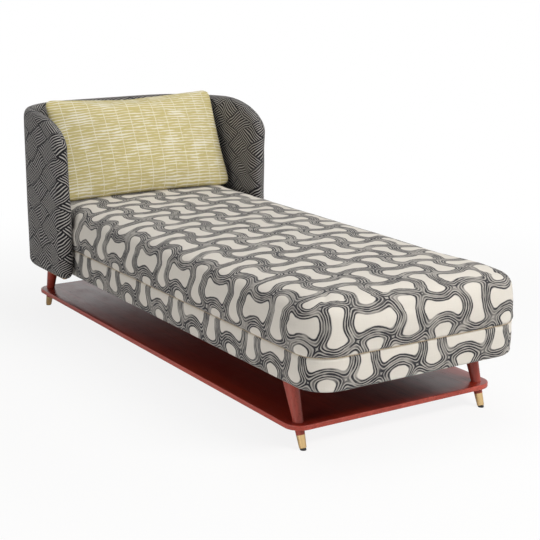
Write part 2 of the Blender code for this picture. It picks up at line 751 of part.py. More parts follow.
def pillow_mesh(name, shrink):
    """A knife-edged cushion, full in the middle, with its edges drawn in between the corners. Local X is
    its width, Y its height and Z its thickness; shrink takes the surface inwards."""
    columns, rows = CUSHION_COLUMNS, CUSHION_ROWS
    half_x = CUSHION_WIDTH / 2 - 2 * shrink
    half_y = CUSHION_HEIGHT / 2 - 2 * shrink
    half_z = CUSHION_THICKNESS / 2 - shrink
    work = bmesh.new()
    sheets = []
    for sign in (1, -1):
        sheet = []
        for j in range(rows + 1):
            line = []
            v = math.sin(math.pi / 2 * (2 * j / rows - 1))
            for i in range(columns + 1):
                u = math.sin(math.pi / 2 * (2 * i / columns - 1))
                rim = i in (0, columns) or j in (0, rows)
                if rim and sign < 0:
                    line.append(sheets[0][j][i])
                    continue
                x = half_x * u * (1 - CUSHION_SIDE_DRAW * u * u * (1 - v * v))
                y = half_y * v * (1 - CUSHION_TOP_DRAW * v * v * (1 - u * u))
                full = max((1 - u * u) * (1 - v * v), 0) ** CUSHION_FULLNESS
                line.append(work.verts.new((x, y, 0 if rim else sign * half_z * full)))
            sheet.append(line)
        sheets.append(sheet)
    for sheet in sheets:
        for j in range(rows):
            for i in range(columns):
                near, far = sheet[j], sheet[j + 1]
                cell = [near[i], near[i + 1], far[i + 1], far[i]]
                if (i < columns / 2) != (j < rows / 2):
                    cell = cell[1:] + cell[:1]
                work.faces.new(cell[:3])
                work.faces.new((cell[0], cell[2], cell[3]))
    return finish_mesh(work, name, CLOTH_SMOOTH)


def mattress_height(x, y):
    """Height of the faceted mattress top over a plan point away from its corners."""
    inset = min(HALF_WIDTH - abs(x), y - FOOT_END, HEAD_END - y)
    pairs = mattress_profile(0.0)[SIDE_STEPS:]
    for (low, low_z), (high, high_z) in zip(pairs, pairs[1:]):
        if low <= inset <= high:
            return low_z + (high_z - low_z) * (inset - low) / (high - low)
    return pairs[-1][1] if inset > pairs[-1][0] else pairs[0][1]


def shell_depth(x):
    """Y of the head shell's faceted inner face at a plan X."""
    half, radius, wing, arc, half_back = shell_path()
    if abs(x) <= half_back:
        return HEAD_END + SHELL_FIT
    bend = [shell_point(wing + arc * step / CORNER_STEPS, 0) for step in range(CORNER_STEPS + 1)]
    for (wide, low), (narrow, high) in zip(bend, bend[1:]):
        if narrow <= abs(x) <= wide:
            return low + (high - low) * (wide - abs(x)) / (wide - narrow)
    return HEAD_END - WING_LENGTH


def cushion_matrix(mesh):
    """The cushion's lean, then the shift that seats its upper corners on the shell and its lower edge
    on the mattress."""
    turn = Matrix.Rotation(math.pi / 2 - CUSHION_LEAN, 4, "X")
    corners = [turn @ vertex.co for vertex in mesh.vertices]
    back = min(shell_depth(point.x + CUSHION_SHIFT) - point.y for point in corners) - GAP
    rise = max(mattress_height(point.x + CUSHION_SHIFT, point.y + back) - point.z for point in corners)
    return Matrix.Translation((CUSHION_SHIFT, back, rise + GAP)) @ turn


def make_cushion():
    mesh = pillow_mesh("cushion_cover", 0.0)
    matrix = cushion_matrix(mesh)
    cover = place(mesh, "cushion_cover", CUSHION_CLOTH, matrix)
    hollow = place_cutter(pillow_mesh("cushion_hollow", CUSHION_WALL), "cushion_hollow", matrix)
    depth = CUSHION_HEIGHT * CUSHION_TOP_DRAW
    zip_low = -CUSHION_HEIGHT / 2 - GAP
    zip_box = box_mesh("zip_slot", (-ZIP_LENGTH / 2, zip_low, -ZIP_WIDTH / 2),
                       (ZIP_LENGTH / 2, zip_low + depth + 4 * CUSHION_WALL, ZIP_WIDTH / 2))
    zip_slot = place_cutter(zip_box, "zip_slot", matrix)
    cut(cover, hollow, zip_slot)
    place(pillow_mesh("cushion_filling", CUSHION_WALL + GAP), "cushion_filling", FOAM, matrix)


def main():
    bores = make_legs()
    make_shelf(bores)
    bolts = make_frame(bores)
    make_base_cloth(bolts)
    make_mattress()
    make_head_shell(bolts)
    make_cushion()


main()
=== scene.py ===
"""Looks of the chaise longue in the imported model's own frame: upholstery, cloths, lacquer, brass, stage."""
import math

import bmesh
import bpy
from mathutils import Matrix, Vector, noise


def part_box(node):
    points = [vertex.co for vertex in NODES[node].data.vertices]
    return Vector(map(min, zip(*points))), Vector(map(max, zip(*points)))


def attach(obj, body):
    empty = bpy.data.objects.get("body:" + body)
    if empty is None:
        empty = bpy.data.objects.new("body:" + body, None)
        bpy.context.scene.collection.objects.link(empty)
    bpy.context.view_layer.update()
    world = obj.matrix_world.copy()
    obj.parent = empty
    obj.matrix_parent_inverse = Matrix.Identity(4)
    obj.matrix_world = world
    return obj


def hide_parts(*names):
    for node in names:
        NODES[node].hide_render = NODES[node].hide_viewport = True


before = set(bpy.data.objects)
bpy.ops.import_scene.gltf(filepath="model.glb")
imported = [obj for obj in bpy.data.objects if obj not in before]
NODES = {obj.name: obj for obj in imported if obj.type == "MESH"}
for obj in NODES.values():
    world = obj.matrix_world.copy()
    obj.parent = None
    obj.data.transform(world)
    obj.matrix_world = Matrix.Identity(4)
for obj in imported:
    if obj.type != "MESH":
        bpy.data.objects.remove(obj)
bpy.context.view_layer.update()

# Seat block, as in the part
HALF_WIDTH = 0.377
FOOT_END = -1.01125
HEAD_END = 0.96175
SEAT_BOTTOM = 0.194
SEAM = 0.291
SEAT_TOP = 0.437
FOOT_CORNER = 0.103
HEAD_CORNER = 0.228
CORNER_KEPT = 0.25
SHOULDER = 0.050
SIDE_EASE = 0.004
SEAM_DRAW = 0.006
BASE_DRAW = 0.004
BASE_EDGE = 0.013
BASE_WALL = 0.018
HEM_REACH = 0.003
HEM_THICKNESS = 0.003
CROWN = 0.007
EDGE_LINE = SIDE_EASE + SHOULDER
SEAM_GAP = 0.0003

# Head shell, as in the part
SHELL_THICKNESS = 0.049
SHELL_FIT = 0.0005
SHELL_TOP = 0.771
SHELL_BOTTOM = 0.189
WING_LENGTH = 0.478
WING_TOP_RUN = 0.255
WING_TOP_DROP = 0.115
WING_BOTTOM_RADIUS = 0.040
SHELL_EDGE = 0.022
SHELL_RIM = 0.036

# The shell's inner face in plan, and lengths along it: wing, bend and half of the back
SHELL_BACK = HEAD_END + SHELL_FIT
SHELL_HALF = HALF_WIDTH + SHELL_FIT
SHELL_BEND = HEAD_CORNER + SHELL_FIT
WING_RUN = WING_LENGTH - SHELL_BEND
BEND_RUN = SHELL_BEND * math.pi / 2
BACK_RUN = SHELL_HALF - SHELL_BEND
HALF_RUN = WING_RUN + BEND_RUN + BACK_RUN

# Grid of the shell's cover
EDGE_STEPS = 7
FACE_ROWS = 20
TIP_START = SHELL_EDGE * math.pi / 2 - SHELL_EDGE + SHELL_THICKNESS / 2 - SHELL_EDGE

# Shelf board, as in the part
SHELF_BOTTOM = 0.059
SHELF_TOP = 0.074
SHELF_CORNER = 0.050
SHELF_ARRIS = 0.003

# Cushion: two flat panels, sewn round the rim and filled
CUSHION_HALF = (0.350, 0.196, 0.074)
CUSHION_TURN = math.radians(65)
PANEL_SIZE = (0.73, 0.425)
PANEL_CORNER = 0.035
PANEL_STEP = 0.010
PANEL_LENS = 0.02
CUSHION_SIDE_DRAW = 0.035
CUSHION_TOP_DRAW = 0.055
CUSHION_FULLNESS = 0.46
CUSHION_CREASE = (0.10, 0.50)
CREASE_RISE = 1.2
SHELL_CLEARANCE = 0.001
SEAT_CLEARANCE = 0.0016
FILL_PRESSURE = 1.0
FILL_FRAMES = 40
FILL_CLOTH = {"quality": 6, "mass": 0.25, "air_damping": 2,
              "tension_stiffness": 15, "compression_stiffness": 15, "shear_stiffness": 5,
              "bending_stiffness": 0.5, "tension_damping": 5, "compression_damping": 5, "shear_damping": 5}

# Fitted covers: how hard their padding presses and how far it moves them
PRESS_FRAMES = 20
PRESS_EXCESS = 0.0005
MATTRESS_PRESS = (0.45, 0.0055)
BASE_PRESS = (0.8, 0.0035)
SHELL_PRESS = (0.4, 0.0035)
PRESS_CLOTH = {"quality": 5, "mass": 0.3, "air_damping": 3,
               "tension_stiffness": 25, "compression_stiffness": 25, "shear_stiffness": 10,
               "bending_stiffness": 1.0, "pin_stiffness": 5}

# Unevenness of the covers: (scale, depth) of slow lumps, and the pleats beside the seam
MATTRESS_LUMPS = ((3.1, 0.0018), (8.0, 0.0006))
LUMP_GROWTH = 0.10
SHELL_LUMP = (1.7, 0.0009)
SHELL_SWELL = 0.0016
PUCKER_DEPTH = 0.0011
PUCKER_STEP = 0.031
PUCKER_REACH = 0.016
BASE_PUCKER_SHIFT = 0.013

# Stitches of the seam
STITCH_INSET = 0.0088
STITCH_SIZES = {"Stitch step": 0.0062, "Stitch length": 0.0066, "Thread radius": 0.0011}

# Print on the seat: repeats between the shoulders and round a foot corner, in whole numbers
SHOULDER_COUNT = 3
ROUND_COUNT = 6
STROKE_PITCH = 0.0072
BAND_HALF = 0.0176
WAVE_RISE = 0.21
BASE_PRINT_START = 0.31
BASE_PRINT_SHIFT = 0.37

# Where the print turns round a foot corner: repeats from the middle of the seat's width and length
TURN_ACROSS = (ROUND_COUNT - SHOULDER_COUNT) / 2
TURN_ALONG = (ROUND_COUNT + SHOULDER_COUNT) / 2
TURN_MIDDLE = {"foot_left": -TURN_ALONG, "foot_right": TURN_ALONG - 2 * ROUND_COUNT}
TURN_REACH = 0.07

# Print on the head shell and on the cushion
BASKET_BLOCK = 0.078
BASKET_PITCH = 0.0098
BASKET_SLANT = math.radians(31)
SLUB_PITCH = 0.0118
PIN_HALF_STEP = 0.026

# Lacquer: two tones of its figure. The leg tones are the red ones darkened, as painted shade under the seat;
# the deep tones are painted shade for the shelf's broad faces
RED_LACQUER = ((0.44, 0.062, 0.040), (0.60, 0.105, 0.070))
# The leg tones are the red tones at 0.8 brightness: painted shade under the seat
LEG_LACQUER_PAINTED_SHADE = ((0.35, 0.049, 0.032), (0.48, 0.084, 0.056))
PAINTED_SHADE_LACQUER = ((0.26, 0.018, 0.008), (0.37, 0.034, 0.015))

# Lamps: place, target, size, power and colour
LAMPS = {
    "key_softbox": ((1.6, -3.9, 3.5), (0, -0.4, 0.3), (2.6, 1.2), 180, (1.0, 0.98, 0.95)),
    "top_softbox": ((0.2, 0.2, 4.2), (0, 0, 0.4), (3.6, 3.6), 62, (1.0, 0.99, 0.98)),
    "left_fill": ((-4.0, -1.2, 0.9), (0, 0, 0.45), (2.2, 1.2), 40, (1.0, 0.98, 0.96)),
}

# Camera, as fitted to the photo
CAMERA_PLACE = (-2.2247, -3.7130, 1.3620)
CAMERA_PITCH = 12.650
CAMERA_TURN = -32.385
CAMERA_LENS = 88.195
CAMERA_SHIFT = -0.06

STATIONS = (("left", 72), ("foot_left", 18), ("foot", 26), ("foot_right", 18), ("right", 72),
            ("head_right", 20), ("head", 12), ("head_left", 20))


def print_repeats():
    """Repeats per metre across and along the seat. They are solved so that the print on the top meets the
    print that runs round the sides all along the shoulders."""
    edge_x = HALF_WIDTH - EDGE_LINE
    edge_y = -FOOT_END - EDGE_LINE
    turn = FOOT_CORNER * math.pi / 4
    round_x = HALF_WIDTH - FOOT_CORNER + turn
    round_y = -FOOT_END - FOOT_CORNER + turn
    along = (ROUND_COUNT + round_x * SHOULDER_COUNT / edge_x) / (round_y + round_x * edge_y / edge_x)
    return (along * edge_y - SHOULDER_COUNT) / edge_x, along


ACROSS, ALONG = print_repeats()
PRINT_CELL = 0.5 / math.sqrt(ACROSS * ALONG)


def plan_point(run, share, inset):
    """A point of the seat's plan, moved inwards; a corner keeps a share of its radius."""
    foot = max(FOOT_CORNER - inset, FOOT_CORNER * CORNER_KEPT)
    head = max(HEAD_CORNER - inset, HEAD_CORNER * CORNER_KEPT)
    wide, low, high = HALF_WIDTH - inset, FOOT_END + inset, HEAD_END - inset
    corners = {
        "foot_left": (-wide + foot, low + foot, foot, 180),
        "foot_right": (wide - foot, low + foot, foot, 270),
        "head_right": (wide - head, high - head, head, 0),
        "head_left": (-wide + head, high - head, head, 90),
    }
    if run in corners:
        x, y, radius, start = corners[run]
        angle = math.radians(start + 90 * share)
        return x + radius * math.cos(angle), y + radius * math.sin(angle)
    ends = {
        "left": ((-wide, high - head), (-wide, low + foot)),
        "foot": ((-wide + foot, low), (wide - foot, low)),
        "right": ((wide, low + foot), (wide, high - head)),
        "head": ((wide - head, high), (-wide + head, high)),
    }
    (x0, y0), (x1, y1) = ends[run]
    return x0 + (x1 - x0) * share, y0 + (y1 - y0) * share


def round_count(run, share):
    """Print repeats passed on the way round the sides."""
    x, y = plan_point(run, share, 0)
    foot_x = HALF_WIDTH - FOOT_CORNER
    foot_turn = FOOT_CORNER * math.pi / 4 * (ACROSS + ALONG)
    head_turn = HEAD_CORNER * math.pi / 2 * ALONG
    head_x = HALF_WIDTH - HEAD_CORNER
    head_start = -2 * ROUND_COUNT - ALONG * (HEAD_END - HEAD_CORNER)
    return {
        "left": ALONG * y,
        "foot_left": ALONG * (FOOT_END + FOOT_CORNER) - foot_turn * share,
        "foot": -ACROSS * x - ROUND_COUNT,
        "foot_right": -ACROSS * foot_x - ROUND_COUNT - foot_turn * share,
        "right": -2 * ROUND_COUNT - ALONG * y,
        "head_right": head_start - head_turn * share,
        "head": head_start - head_turn - ACROSS * (head_x - x),
        "head_left": head_start - head_turn - ACROSS * 2 * head_x - head_turn * share,
    }[run]


def down_rate(run, share):
    """Print repeats per metre down the sides."""
    if run in ("left", "right"):
        return ACROSS
    if run in ("foot", "head"):
        return ALONG
    toward_end = share if run in ("foot_left", "head_right") else 1 - share
    return ACROSS + (ALONG - ACROSS) * toward_end


def turn_way(run, share, first, rise):
    """Repeats round the sides between a foot corner's turning point and a station, on the corner's first or
    second half. Above the point the two halves show the top's print, so they meet on its diagonal."""
    above = max(rise, 0)
    if first:
        return above + (round_count(run, 0) - TURN_MIDDLE[run] - above) * (1 - 2 * share)
    return above + (TURN_MIDDLE[run] - round_count(run, 1) - above) * (2 * share - 1)


def turn_top(run, share, first, rise):
    """The place in the top's print where it meets the print of the sides round a foot corner."""
    left = run == "foot_left"
    way = turn_way(run, share, first, rise)
    inward, upward = (rise, way) if first == left else (way, rise)
    return (TURN_ACROSS - inward) * (-1 if left else 1), upward - TURN_ALONG


def seat_stations():
    """Every station round the seat, with the first one once more at the end."""
    stations = [(run, step / count) for run, count in STATIONS for step in range(count)]
    return stations + [("head_left", 1.0)]


def finished(work, name, smooth=True):
    bmesh.ops.recalc_face_normals(work, faces=work.faces)
    if work.calc_volume(signed=True) < 0:
        bmesh.ops.reverse_faces(work, faces=work.faces)
    mesh = bpy.data.meshes.new(name)
    work.to_mesh(mesh)
    work.free()
    if smooth:
        mesh.shade_smooth()
    return mesh


def linked(name, data):
    item = bpy.data.objects.new(name, data)
    bpy.context.scene.collection.objects.link(item)
    return item


def placed(mesh, finish):
    item = linked(mesh.name, mesh)
    mesh.materials.clear()
    mesh.materials.append(finish)
    return item


def baked(item):
    """A new mesh of an item with its modifiers applied; they are then taken off the item."""
    mesh = bpy.data.meshes.new_from_object(item.evaluated_get(bpy.context.evaluated_depsgraph_get()))
    item.modifiers.clear()
    return mesh


def ring_surface(name, rings, cell_uv, closed=False):
    """Rings of points joined into a closed body. cell_uv gives a print and a thread UV for a ring's
    station in a cell, which lies between two rings and starts at its own station; an open body is capped
    by its first and last ring."""
    work = bmesh.new()
    print_layer = work.loops.layers.uv.new("print")
    thread_layer = work.loops.layers.uv.new("thread")
    count = len(rings[0])
    lines = [[work.verts.new(point) for point in ring] for ring in rings]
    last = len(rings) if closed else len(rings) - 1
    for r in range(last):
        after = (r + 1) % len(rings)
        for k in range(count):
            corners = ((r, k), (r, k + 1), (after, k + 1), (after, k))
            face = work.faces.new([lines[i][j % count] for i, j in corners])
            for loop, (i, j) in zip(face.loops, corners):
                loop[print_layer].uv, loop[thread_layer].uv = cell_uv(r, after, k, i, j)
    if not closed:
        caps = []
        for r in (0, len(rings) - 1):
            caps.append(work.faces.new(lines[r]))
            for k, loop in enumerate(caps[-1].loops):
                loop[print_layer].uv, loop[thread_layer].uv = cell_uv(r, r, k, r, k)
        bmesh.ops.triangulate(work, faces=caps)
    return finished(work, name)


def smooth_share(value, low, high):
    """A smooth step from 0 to 1 as value goes from low to high."""
    share = min(max((value - low) / (high - low), 0), 1)
    return share * share * (3 - 2 * share)


def run_cloth(item, frames, pressure, settings):
    """The mesh of an item after a cloth simulation with pressure inside it and no gravity."""
    cloth = item.modifiers.new("cover", "CLOTH")
    for key, value in settings.items():
        setattr(cloth.settings, key, value)
    cloth.settings.use_pressure = True
    cloth.settings.uniform_pressure_force = pressure
    cloth.settings.effector_weights.gravity = 0
    cloth.collision_settings.use_collision = False
    cloth.point_cache.frame_start = 1
    cloth.point_cache.frame_end = frames
    for step in range(1, frames + 1):
        bpy.context.scene.frame_set(step)
    result = baked(item)
    bpy.context.scene.frame_set(1)
    return result


def pressed_out(piece, hold, pressure, most):
    """A fitted cover that its padding presses out, by cloth simulation. It starts a little small. hold
    gives 1 for a point that is sewn down or out of sight and 0 for a free one, and no point moves further
    than most."""
    points = piece.data.vertices
    group = piece.vertex_groups.new(name="held")
    held = [hold(vertex.co) for vertex in points]
    normals = [vertex.normal.copy() for vertex in points]
    for vertex, normal, share in zip(points, normals, held):
        vertex.co -= normal * (most - PRESS_EXCESS) * (1 - share)
        group.add([vertex.index], share, "REPLACE")
    moved = run_cloth(piece, PRESS_FRAMES, pressure, {**PRESS_CLOTH, "vertex_group_mass": group.name})
    piece.vertex_groups.clear()
    for vertex, end in zip(points, moved.vertices):
        way = end.co - vertex.co
        if way.length > most:
            way *= most / way.length
        vertex.co += way
    bpy.data.meshes.remove(moved)


def soft_lump(x, y, z, scale, depth):
    """Slow unevenness of stuffing under a tight cover."""
    return depth * noise.noise(Vector((x, y, z)) * scale)


def seam_pucker(run_metres, distance):
    """Small pleats that a sewn seam draws into the cover beside it."""
    slow = 0.6 + 0.4 * noise.noise(Vector((run_metres * 9, 0, 0)))
    wave = math.cos(2 * math.pi * run_metres / PUCKER_STEP)
    return PUCKER_DEPTH * slow * wave * math.exp(-distance / PUCKER_REACH)


def side_inset(share):
    return SEAM_DRAW * (1 - share) ** 4 + SIDE_EASE * share ** 3


def mattress_profile():
    """(inset, height) from the seam up the side, over the shoulder and across the crown."""
    low = SEAM + SEAM_GAP / 2
    pairs = [(0.016, low), (0.0115, low + 0.0002), (0.0085, low + 0.0014)]
    for step in range(1, 13):
        share = step / 12
        pairs.append((side_inset(share), low + (SEAT_TOP - SHOULDER - low) * share))
    for step in range(1, 13):
        angle = math.pi / 2 * step / 12
        pairs.append((SIDE_EASE + SHOULDER * (1 - math.cos(angle)),
                      SEAT_TOP - SHOULDER * (1 - math.sin(angle))))
    for step in range(1, 15):
        share = 0.80 * step / 14
        pairs.append((EDGE_LINE + (HALF_WIDTH - EDGE_LINE) * share,
                      SEAT_TOP + CROWN * (1 - (1 - share) ** 2)))
    return pairs


def base_profile():
    """(inset, height) from the seam down the swelling side, round the edge, over the hem and up inside."""
    top = SEAM - SEAM_GAP / 2
    side_low = SEAT_BOTTOM + BASE_EDGE
    pairs = [(0.016, top), (0.0135, top - 0.0003), (0.0112, top - 0.0016)]
    for step in range(1, 11):
        share = step / 10
        pairs.append((BASE_DRAW + side_inset(share), top + (side_low - top) * share))
    for step in range(1, 9):
        angle = math.pi / 2 * step / 8
        pairs.append((BASE_DRAW + SIDE_EASE + BASE_EDGE * (1 - math.cos(angle)),
                      side_low - BASE_EDGE * math.sin(angle)))
    hem = BASE_DRAW + SIDE_EASE + BASE_EDGE + HEM_REACH
    pairs += [(hem, SEAT_BOTTOM), (hem, SEAT_BOTTOM + HEM_THICKNESS),
              (BASE_WALL, SEAT_BOTTOM + HEM_THICKNESS), (BASE_WALL, top - 0.004)]
    return pairs


def falls_from(profile, start):
    """Surface distance of each profile point from the one at start, positive towards the first."""
    falls = [0.0] * len(profile)
    for k in range(start - 1, -1, -1):
        falls[k] = falls[k + 1] + math.dist(profile[k], profile[k + 1])
    for k in range(start + 1, len(profile)):
        falls[k] = falls[k - 1] - math.dist(profile[k], profile[k - 1])
    return falls


def make_mattress(cloth):
    profile = mattress_profile()
    stations = seat_stations()
    edge = min(range(len(profile)), key=lambda k: math.dist(profile[k], (EDGE_LINE, SEAT_TOP)))
    falls = falls_from(profile, edge)
    edge_count = ACROSS * (HALF_WIDTH - EDGE_LINE)
    rings = []
    for k, (inset, height) in enumerate(profile):
        ring = []
        for run, share in stations[:-1]:
            metres = round_count(run, share) / ALONG
            pull = 0.0 if k > edge else seam_pucker(metres, height - SEAM)
            x, y = plan_point(run, share, inset + max(pull, -inset * 0.5))
            bulge = sum(soft_lump(x, y, height, *lump) for lump in MATTRESS_LUMPS)
            rise = bulge * min(max((height - SEAM) / LUMP_GROWTH, 0), 1)
            ring.append((x, y, height + rise))
        rings.append(ring)

    def cell_uv(r, after, start, i, k):
        run, share = stations[k]
        first = stations[start][0] != run or stations[start][1] < 0.5
        inset = profile[i][0]
        x, y = plan_point(run, share, inset)
        if min(r, after) >= edge:
            u, v = ACROSS * x, ALONG * y
            if run in TURN_MIDDLE:
                ring_x, ring_y = plan_point(run, share, EDGE_LINE)
                turn_u, turn_v = turn_top(run, share, first, TURN_ACROSS - edge_count)
                near = 1 - smooth_share(inset, EDGE_LINE, EDGE_LINE + TURN_REACH)
                u += near * (turn_u - ACROSS * ring_x)
                v += near * (turn_v - ALONG * ring_y)
            return (u, v), (x, y)
        count = round_count(run, share)
        thread = (-falls[i], count / ALONG)
        down = edge_count + down_rate(run, share) * falls[i]
        if run in TURN_MIDDLE:
            way = turn_way(run, share, first, TURN_ACROSS - down)
            count = TURN_MIDDLE[run] + (way if first else -way)
        return (-down, count), thread

    mattress = placed(ring_surface("mattress", rings, cell_uv), cloth)
    pressed_out(mattress, lambda point: 1 - smooth_share(point.z - SEAM, 0.003, 0.030), *MATTRESS_PRESS)
    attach(mattress, "couch")
    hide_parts("mattress_cover", "mattress_core")


def within_plan(point, inset):
    """True where a point lies further in than inset from the seat's straight sides and round corners."""
    corner, end = (FOOT_CORNER, FOOT_END) if point.y < 0 else (HEAD_CORNER, HEAD_END)
    past_x = abs(point.x) - (HALF_WIDTH - corner)
    past_y = corner - abs(point.y - end)
    if past_x > 0 and past_y > 0:
        return math.hypot(past_x, past_y) < corner - inset
    return max(past_x, past_y) < corner - inset


def make_base_tier(cloth):
    profile = base_profile()
    stations = seat_stations()
    falls = falls_from(profile, 0)
    rings = []
    for inset, height in profile:
        ring = []
        for run, share in stations[:-1]:
            metres = round_count(run, share) / ALONG + BASE_PUCKER_SHIFT
            pull = seam_pucker(metres, SEAM - height) if inset < BASE_WALL else 0.0
            x, y = plan_point(run, share, inset + pull)
            ring.append((x, y, height))
        rings.append(ring)

    def cell_uv(r, after, start, i, k):
        run, share = stations[k]
        count = round_count(run, share) + BASE_PRINT_SHIFT
        down = falls[i] if i > 0 or r == 0 else falls[-1] - 0.01
        return (BASE_PRINT_START + down_rate(run, share) * down, count), (down, count / ALONG)

    base = placed(ring_surface("base_tier", rings, cell_uv, closed=True), cloth)

    def hold(point):
        if within_plan(point, BASE_WALL - 0.003):
            return 1.0
        below_seam = smooth_share(SEAM - point.z, 0.003, 0.024)
        return 1 - below_seam * smooth_share(point.z - SEAT_BOTTOM, 0.002, 0.016)

    pressed_out(base, hold, *BASE_PRESS)
    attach(base, "couch")
    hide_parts("base_cover")


def shell_point(along, out):
    """Plan point at a distance along the shell's inner face from the right wing's tip, and out from it."""
    side = 1
    if along > HALF_RUN:
        along, side = 2 * HALF_RUN - along, -1
    if along <= WING_RUN:
        return side * (SHELL_HALF + out), SHELL_BACK - WING_LENGTH + along
    if along <= WING_RUN + BEND_RUN:
        angle = (along - WING_RUN) / SHELL_BEND
        return (side * (BACK_RUN + (SHELL_BEND + out) * math.cos(angle)),
                SHELL_BACK - SHELL_BEND + (SHELL_BEND + out) * math.sin(angle))
    return side * (BACK_RUN - (along - WING_RUN - BEND_RUN)), SHELL_BACK + out


def shell_stations():
    """Distances from a wing's tip to the middle of the back, close together near the tip."""
    tip = [WING_TOP_RUN * (1 - math.cos(math.pi / 2 * step / 22)) for step in range(23)]
    rest = math.ceil((HALF_RUN - WING_TOP_RUN) / 0.016)
    return tip + [WING_TOP_RUN + (HALF_RUN - WING_TOP_RUN) * step / rest for step in range(1, rest + 1)]


def shell_edge_line(stations, inset, level, run, drop):
    """Heights along the top or bottom edge of the unrolled shell, moved in from the tip by inset."""
    line = []
    for place in stations:
        along = inset + place * (1 - inset / HALF_RUN)
        short = max(inset + run - along, 0) / run
        line.append((along, level - drop * (1 - math.sqrt(max(1 - short ** 2, 0)))))
    return line


def shell_outline(stations, share):
    """The unrolled shell's edge at a share (0 ridge, 1 flat face) of its rounding: upper and lower lines."""
    inset = SHELL_EDGE * share
    sunk = SHELL_RIM * share
    upper = shell_edge_line(stations, inset, SHELL_TOP - sunk, WING_TOP_RUN - inset, WING_TOP_DROP - sunk)
    lower = shell_edge_line(stations, inset, SHELL_BOTTOM + inset, WING_BOTTOM_RADIUS - inset,
                            inset - WING_BOTTOM_RADIUS)
    return upper, lower


def shell_hold(point):
    """1 on the face that stands against the seat, 0 on the outer face and above the seat."""
    x, y = abs(point.x), point.y - (SHELL_BACK - SHELL_BEND)
    if y <= 0:
        out = x - SHELL_HALF
    elif x <= BACK_RUN:
        out = y - SHELL_BEND
    else:
        out = math.hypot(x - BACK_RUN, y) - SHELL_BEND
    inner = 1 - smooth_share(out, 0.2 * SHELL_THICKNESS, 0.6 * SHELL_THICKNESS)
    return inner * (1 - smooth_share(point.z - SEAT_TOP, 0.005, 0.045))


def make_head_shell(cloth):
    """The padded cover: from the inner face (-1) round the rim to the outer face (1), on one grid of columns
    along the shell and rows round its section."""
    stations = shell_stations()
    angles = [math.pi / 2 * step / EDGE_STEPS for step in range(EDGE_STEPS + 1)]
    outlines = [shell_outline(stations, 1 - math.cos(angle)) for angle in angles]
    ridge, flat = outlines[0], outlines[-1]

    def edge_out(face, angle):
        depth = SHELL_EDGE * (1 - math.sin(angle))
        return depth if face < 0 else SHELL_THICKNESS - depth

    # Rows run up the inner face, over the top and down the outer face; the bottom closes the section
    def column(k):
        rows = []
        (along, high), (_, low) = flat[0][k], flat[1][k]
        for face in (-1, 1):
            upper, lower, middle = [], [], []
            for angle, outline in zip(angles, outlines):
                for edge, line, start, end in zip((upper, lower), outline, flat, ridge):
                    u, v = (a + (b - a) * (math.pi / 2 - angle) for a, b in zip(start[k], end[k]))
                    edge.append((*line[k], edge_out(face, angle), u, v))
            for row in range(1, FACE_ROWS):
                share = row / FACE_ROWS
                height = low + (high - low) * share
                swell = SHELL_SWELL * math.sin(math.pi * share)
                swell += soft_lump(along * 3, height * 3, face, *SHELL_LUMP)
                out = SHELL_THICKNESS + swell if face > 0 else -max(swell, 0) * (height > SEAT_TOP + 0.03)
                middle.append((along, height, out, along, height))
            rows.append(lower + middle + upper[::-1])
        return rows[0] + rows[1][::-1]

    columns = [column(k) for k in range(len(stations))]
    last, count = len(columns) - 1, len(columns[0])
    work = bmesh.new()
    layers = [work.loops.layers.uv.new(name) for name in ("print", "thread")]

    def vertex_at(side, along, out, height):
        return work.verts.new((*shell_point(along if side > 0 else 2 * HALF_RUN - along, out), height))

    def uv_at(side, face, u, v):
        run = (u + TIP_START) * face
        return (run if side > 0 else 2 * HALF_RUN + 2 * TIP_START - run), v

    def patch(points):
        face = work.faces.new([vertex for vertex, _ in points])
        for loop, (_, place) in zip(face.loops, points):
            for layer in layers:
                loop[layer].uv = place

    grid = {}
    for side in (1, -1):
        for k, rows in enumerate(columns):
            for row, (along, height, out, u, v) in enumerate(rows):
                shared = side < 0 and k == last
                vertex = grid[1, k, row][0] if shared else vertex_at(side, along, out, height)
                grid[side, k, row] = vertex, uv_at(side, -1 if row < count // 2 else 1, u, v)

    # A wing's upright front edge: lines between the rows of the first column, one for each layer
    def round_tip(side):
        lines = []
        low, high = flat[1][0][1], flat[0][0][1]
        for face in (-1, 1):
            for layer in range(EDGE_STEPS + 1)[::face]:
                angle = angles[layer]
                along = SHELL_EDGE * (1 - math.cos(angle))
                u = SHELL_EDGE * (1 - math.pi / 2 + angle)
                line = []
                for row in range(FACE_ROWS + 1):
                    height = low + (high - low) * row / FACE_ROWS
                    if 0 < row < FACE_ROWS and layer < EDGE_STEPS:
                        vertex = vertex_at(side, along, edge_out(face, angle), height)
                    else:
                        near = count // 2 - 1 - layer if row == FACE_ROWS else layer + row
                        vertex = grid[side, 0, near if face < 0 else count - 1 - near][0]
                    line.append((vertex, uv_at(side, face, u, height)))
                lines.append(line)
        for near, far in zip(lines, lines[1:]):
            for row in range(FACE_ROWS):
                patch((near[row], far[row], far[row + 1], near[row + 1]))

    for side in (1, -1):
        for k in range(last):
            for row in range(count):
                after = (row + 1) % count
                patch([grid[side, *place] for place in ((k, row), (k + 1, row), (k + 1, after), (k, after))])
        round_tip(side)
    bmesh.ops.remove_doubles(work, verts=work.verts, dist=0.00002)
    shell = placed(finished(work, "head_shell_cover"), cloth)
    pressed_out(shell, shell_hold, *SHELL_PRESS)
    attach(shell, "couch")
    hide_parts("head_cover")


def seat_height(x, y):
    """Height of the mattress top over a plan point away from its corners."""
    inset = min(HALF_WIDTH - abs(x), y - FOOT_END, HEAD_END - y)
    if inset < EDGE_LINE:
        short = min(max(1 - (inset - SIDE_EASE) / SHOULDER, 0), 1)
        return SEAT_TOP - SHOULDER * (1 - math.sqrt(1 - short ** 2))
    share = (inset - EDGE_LINE) / (HALF_WIDTH - EDGE_LINE)
    return SEAT_TOP + CROWN * (1 - (1 - min(share, 1)) ** 2)


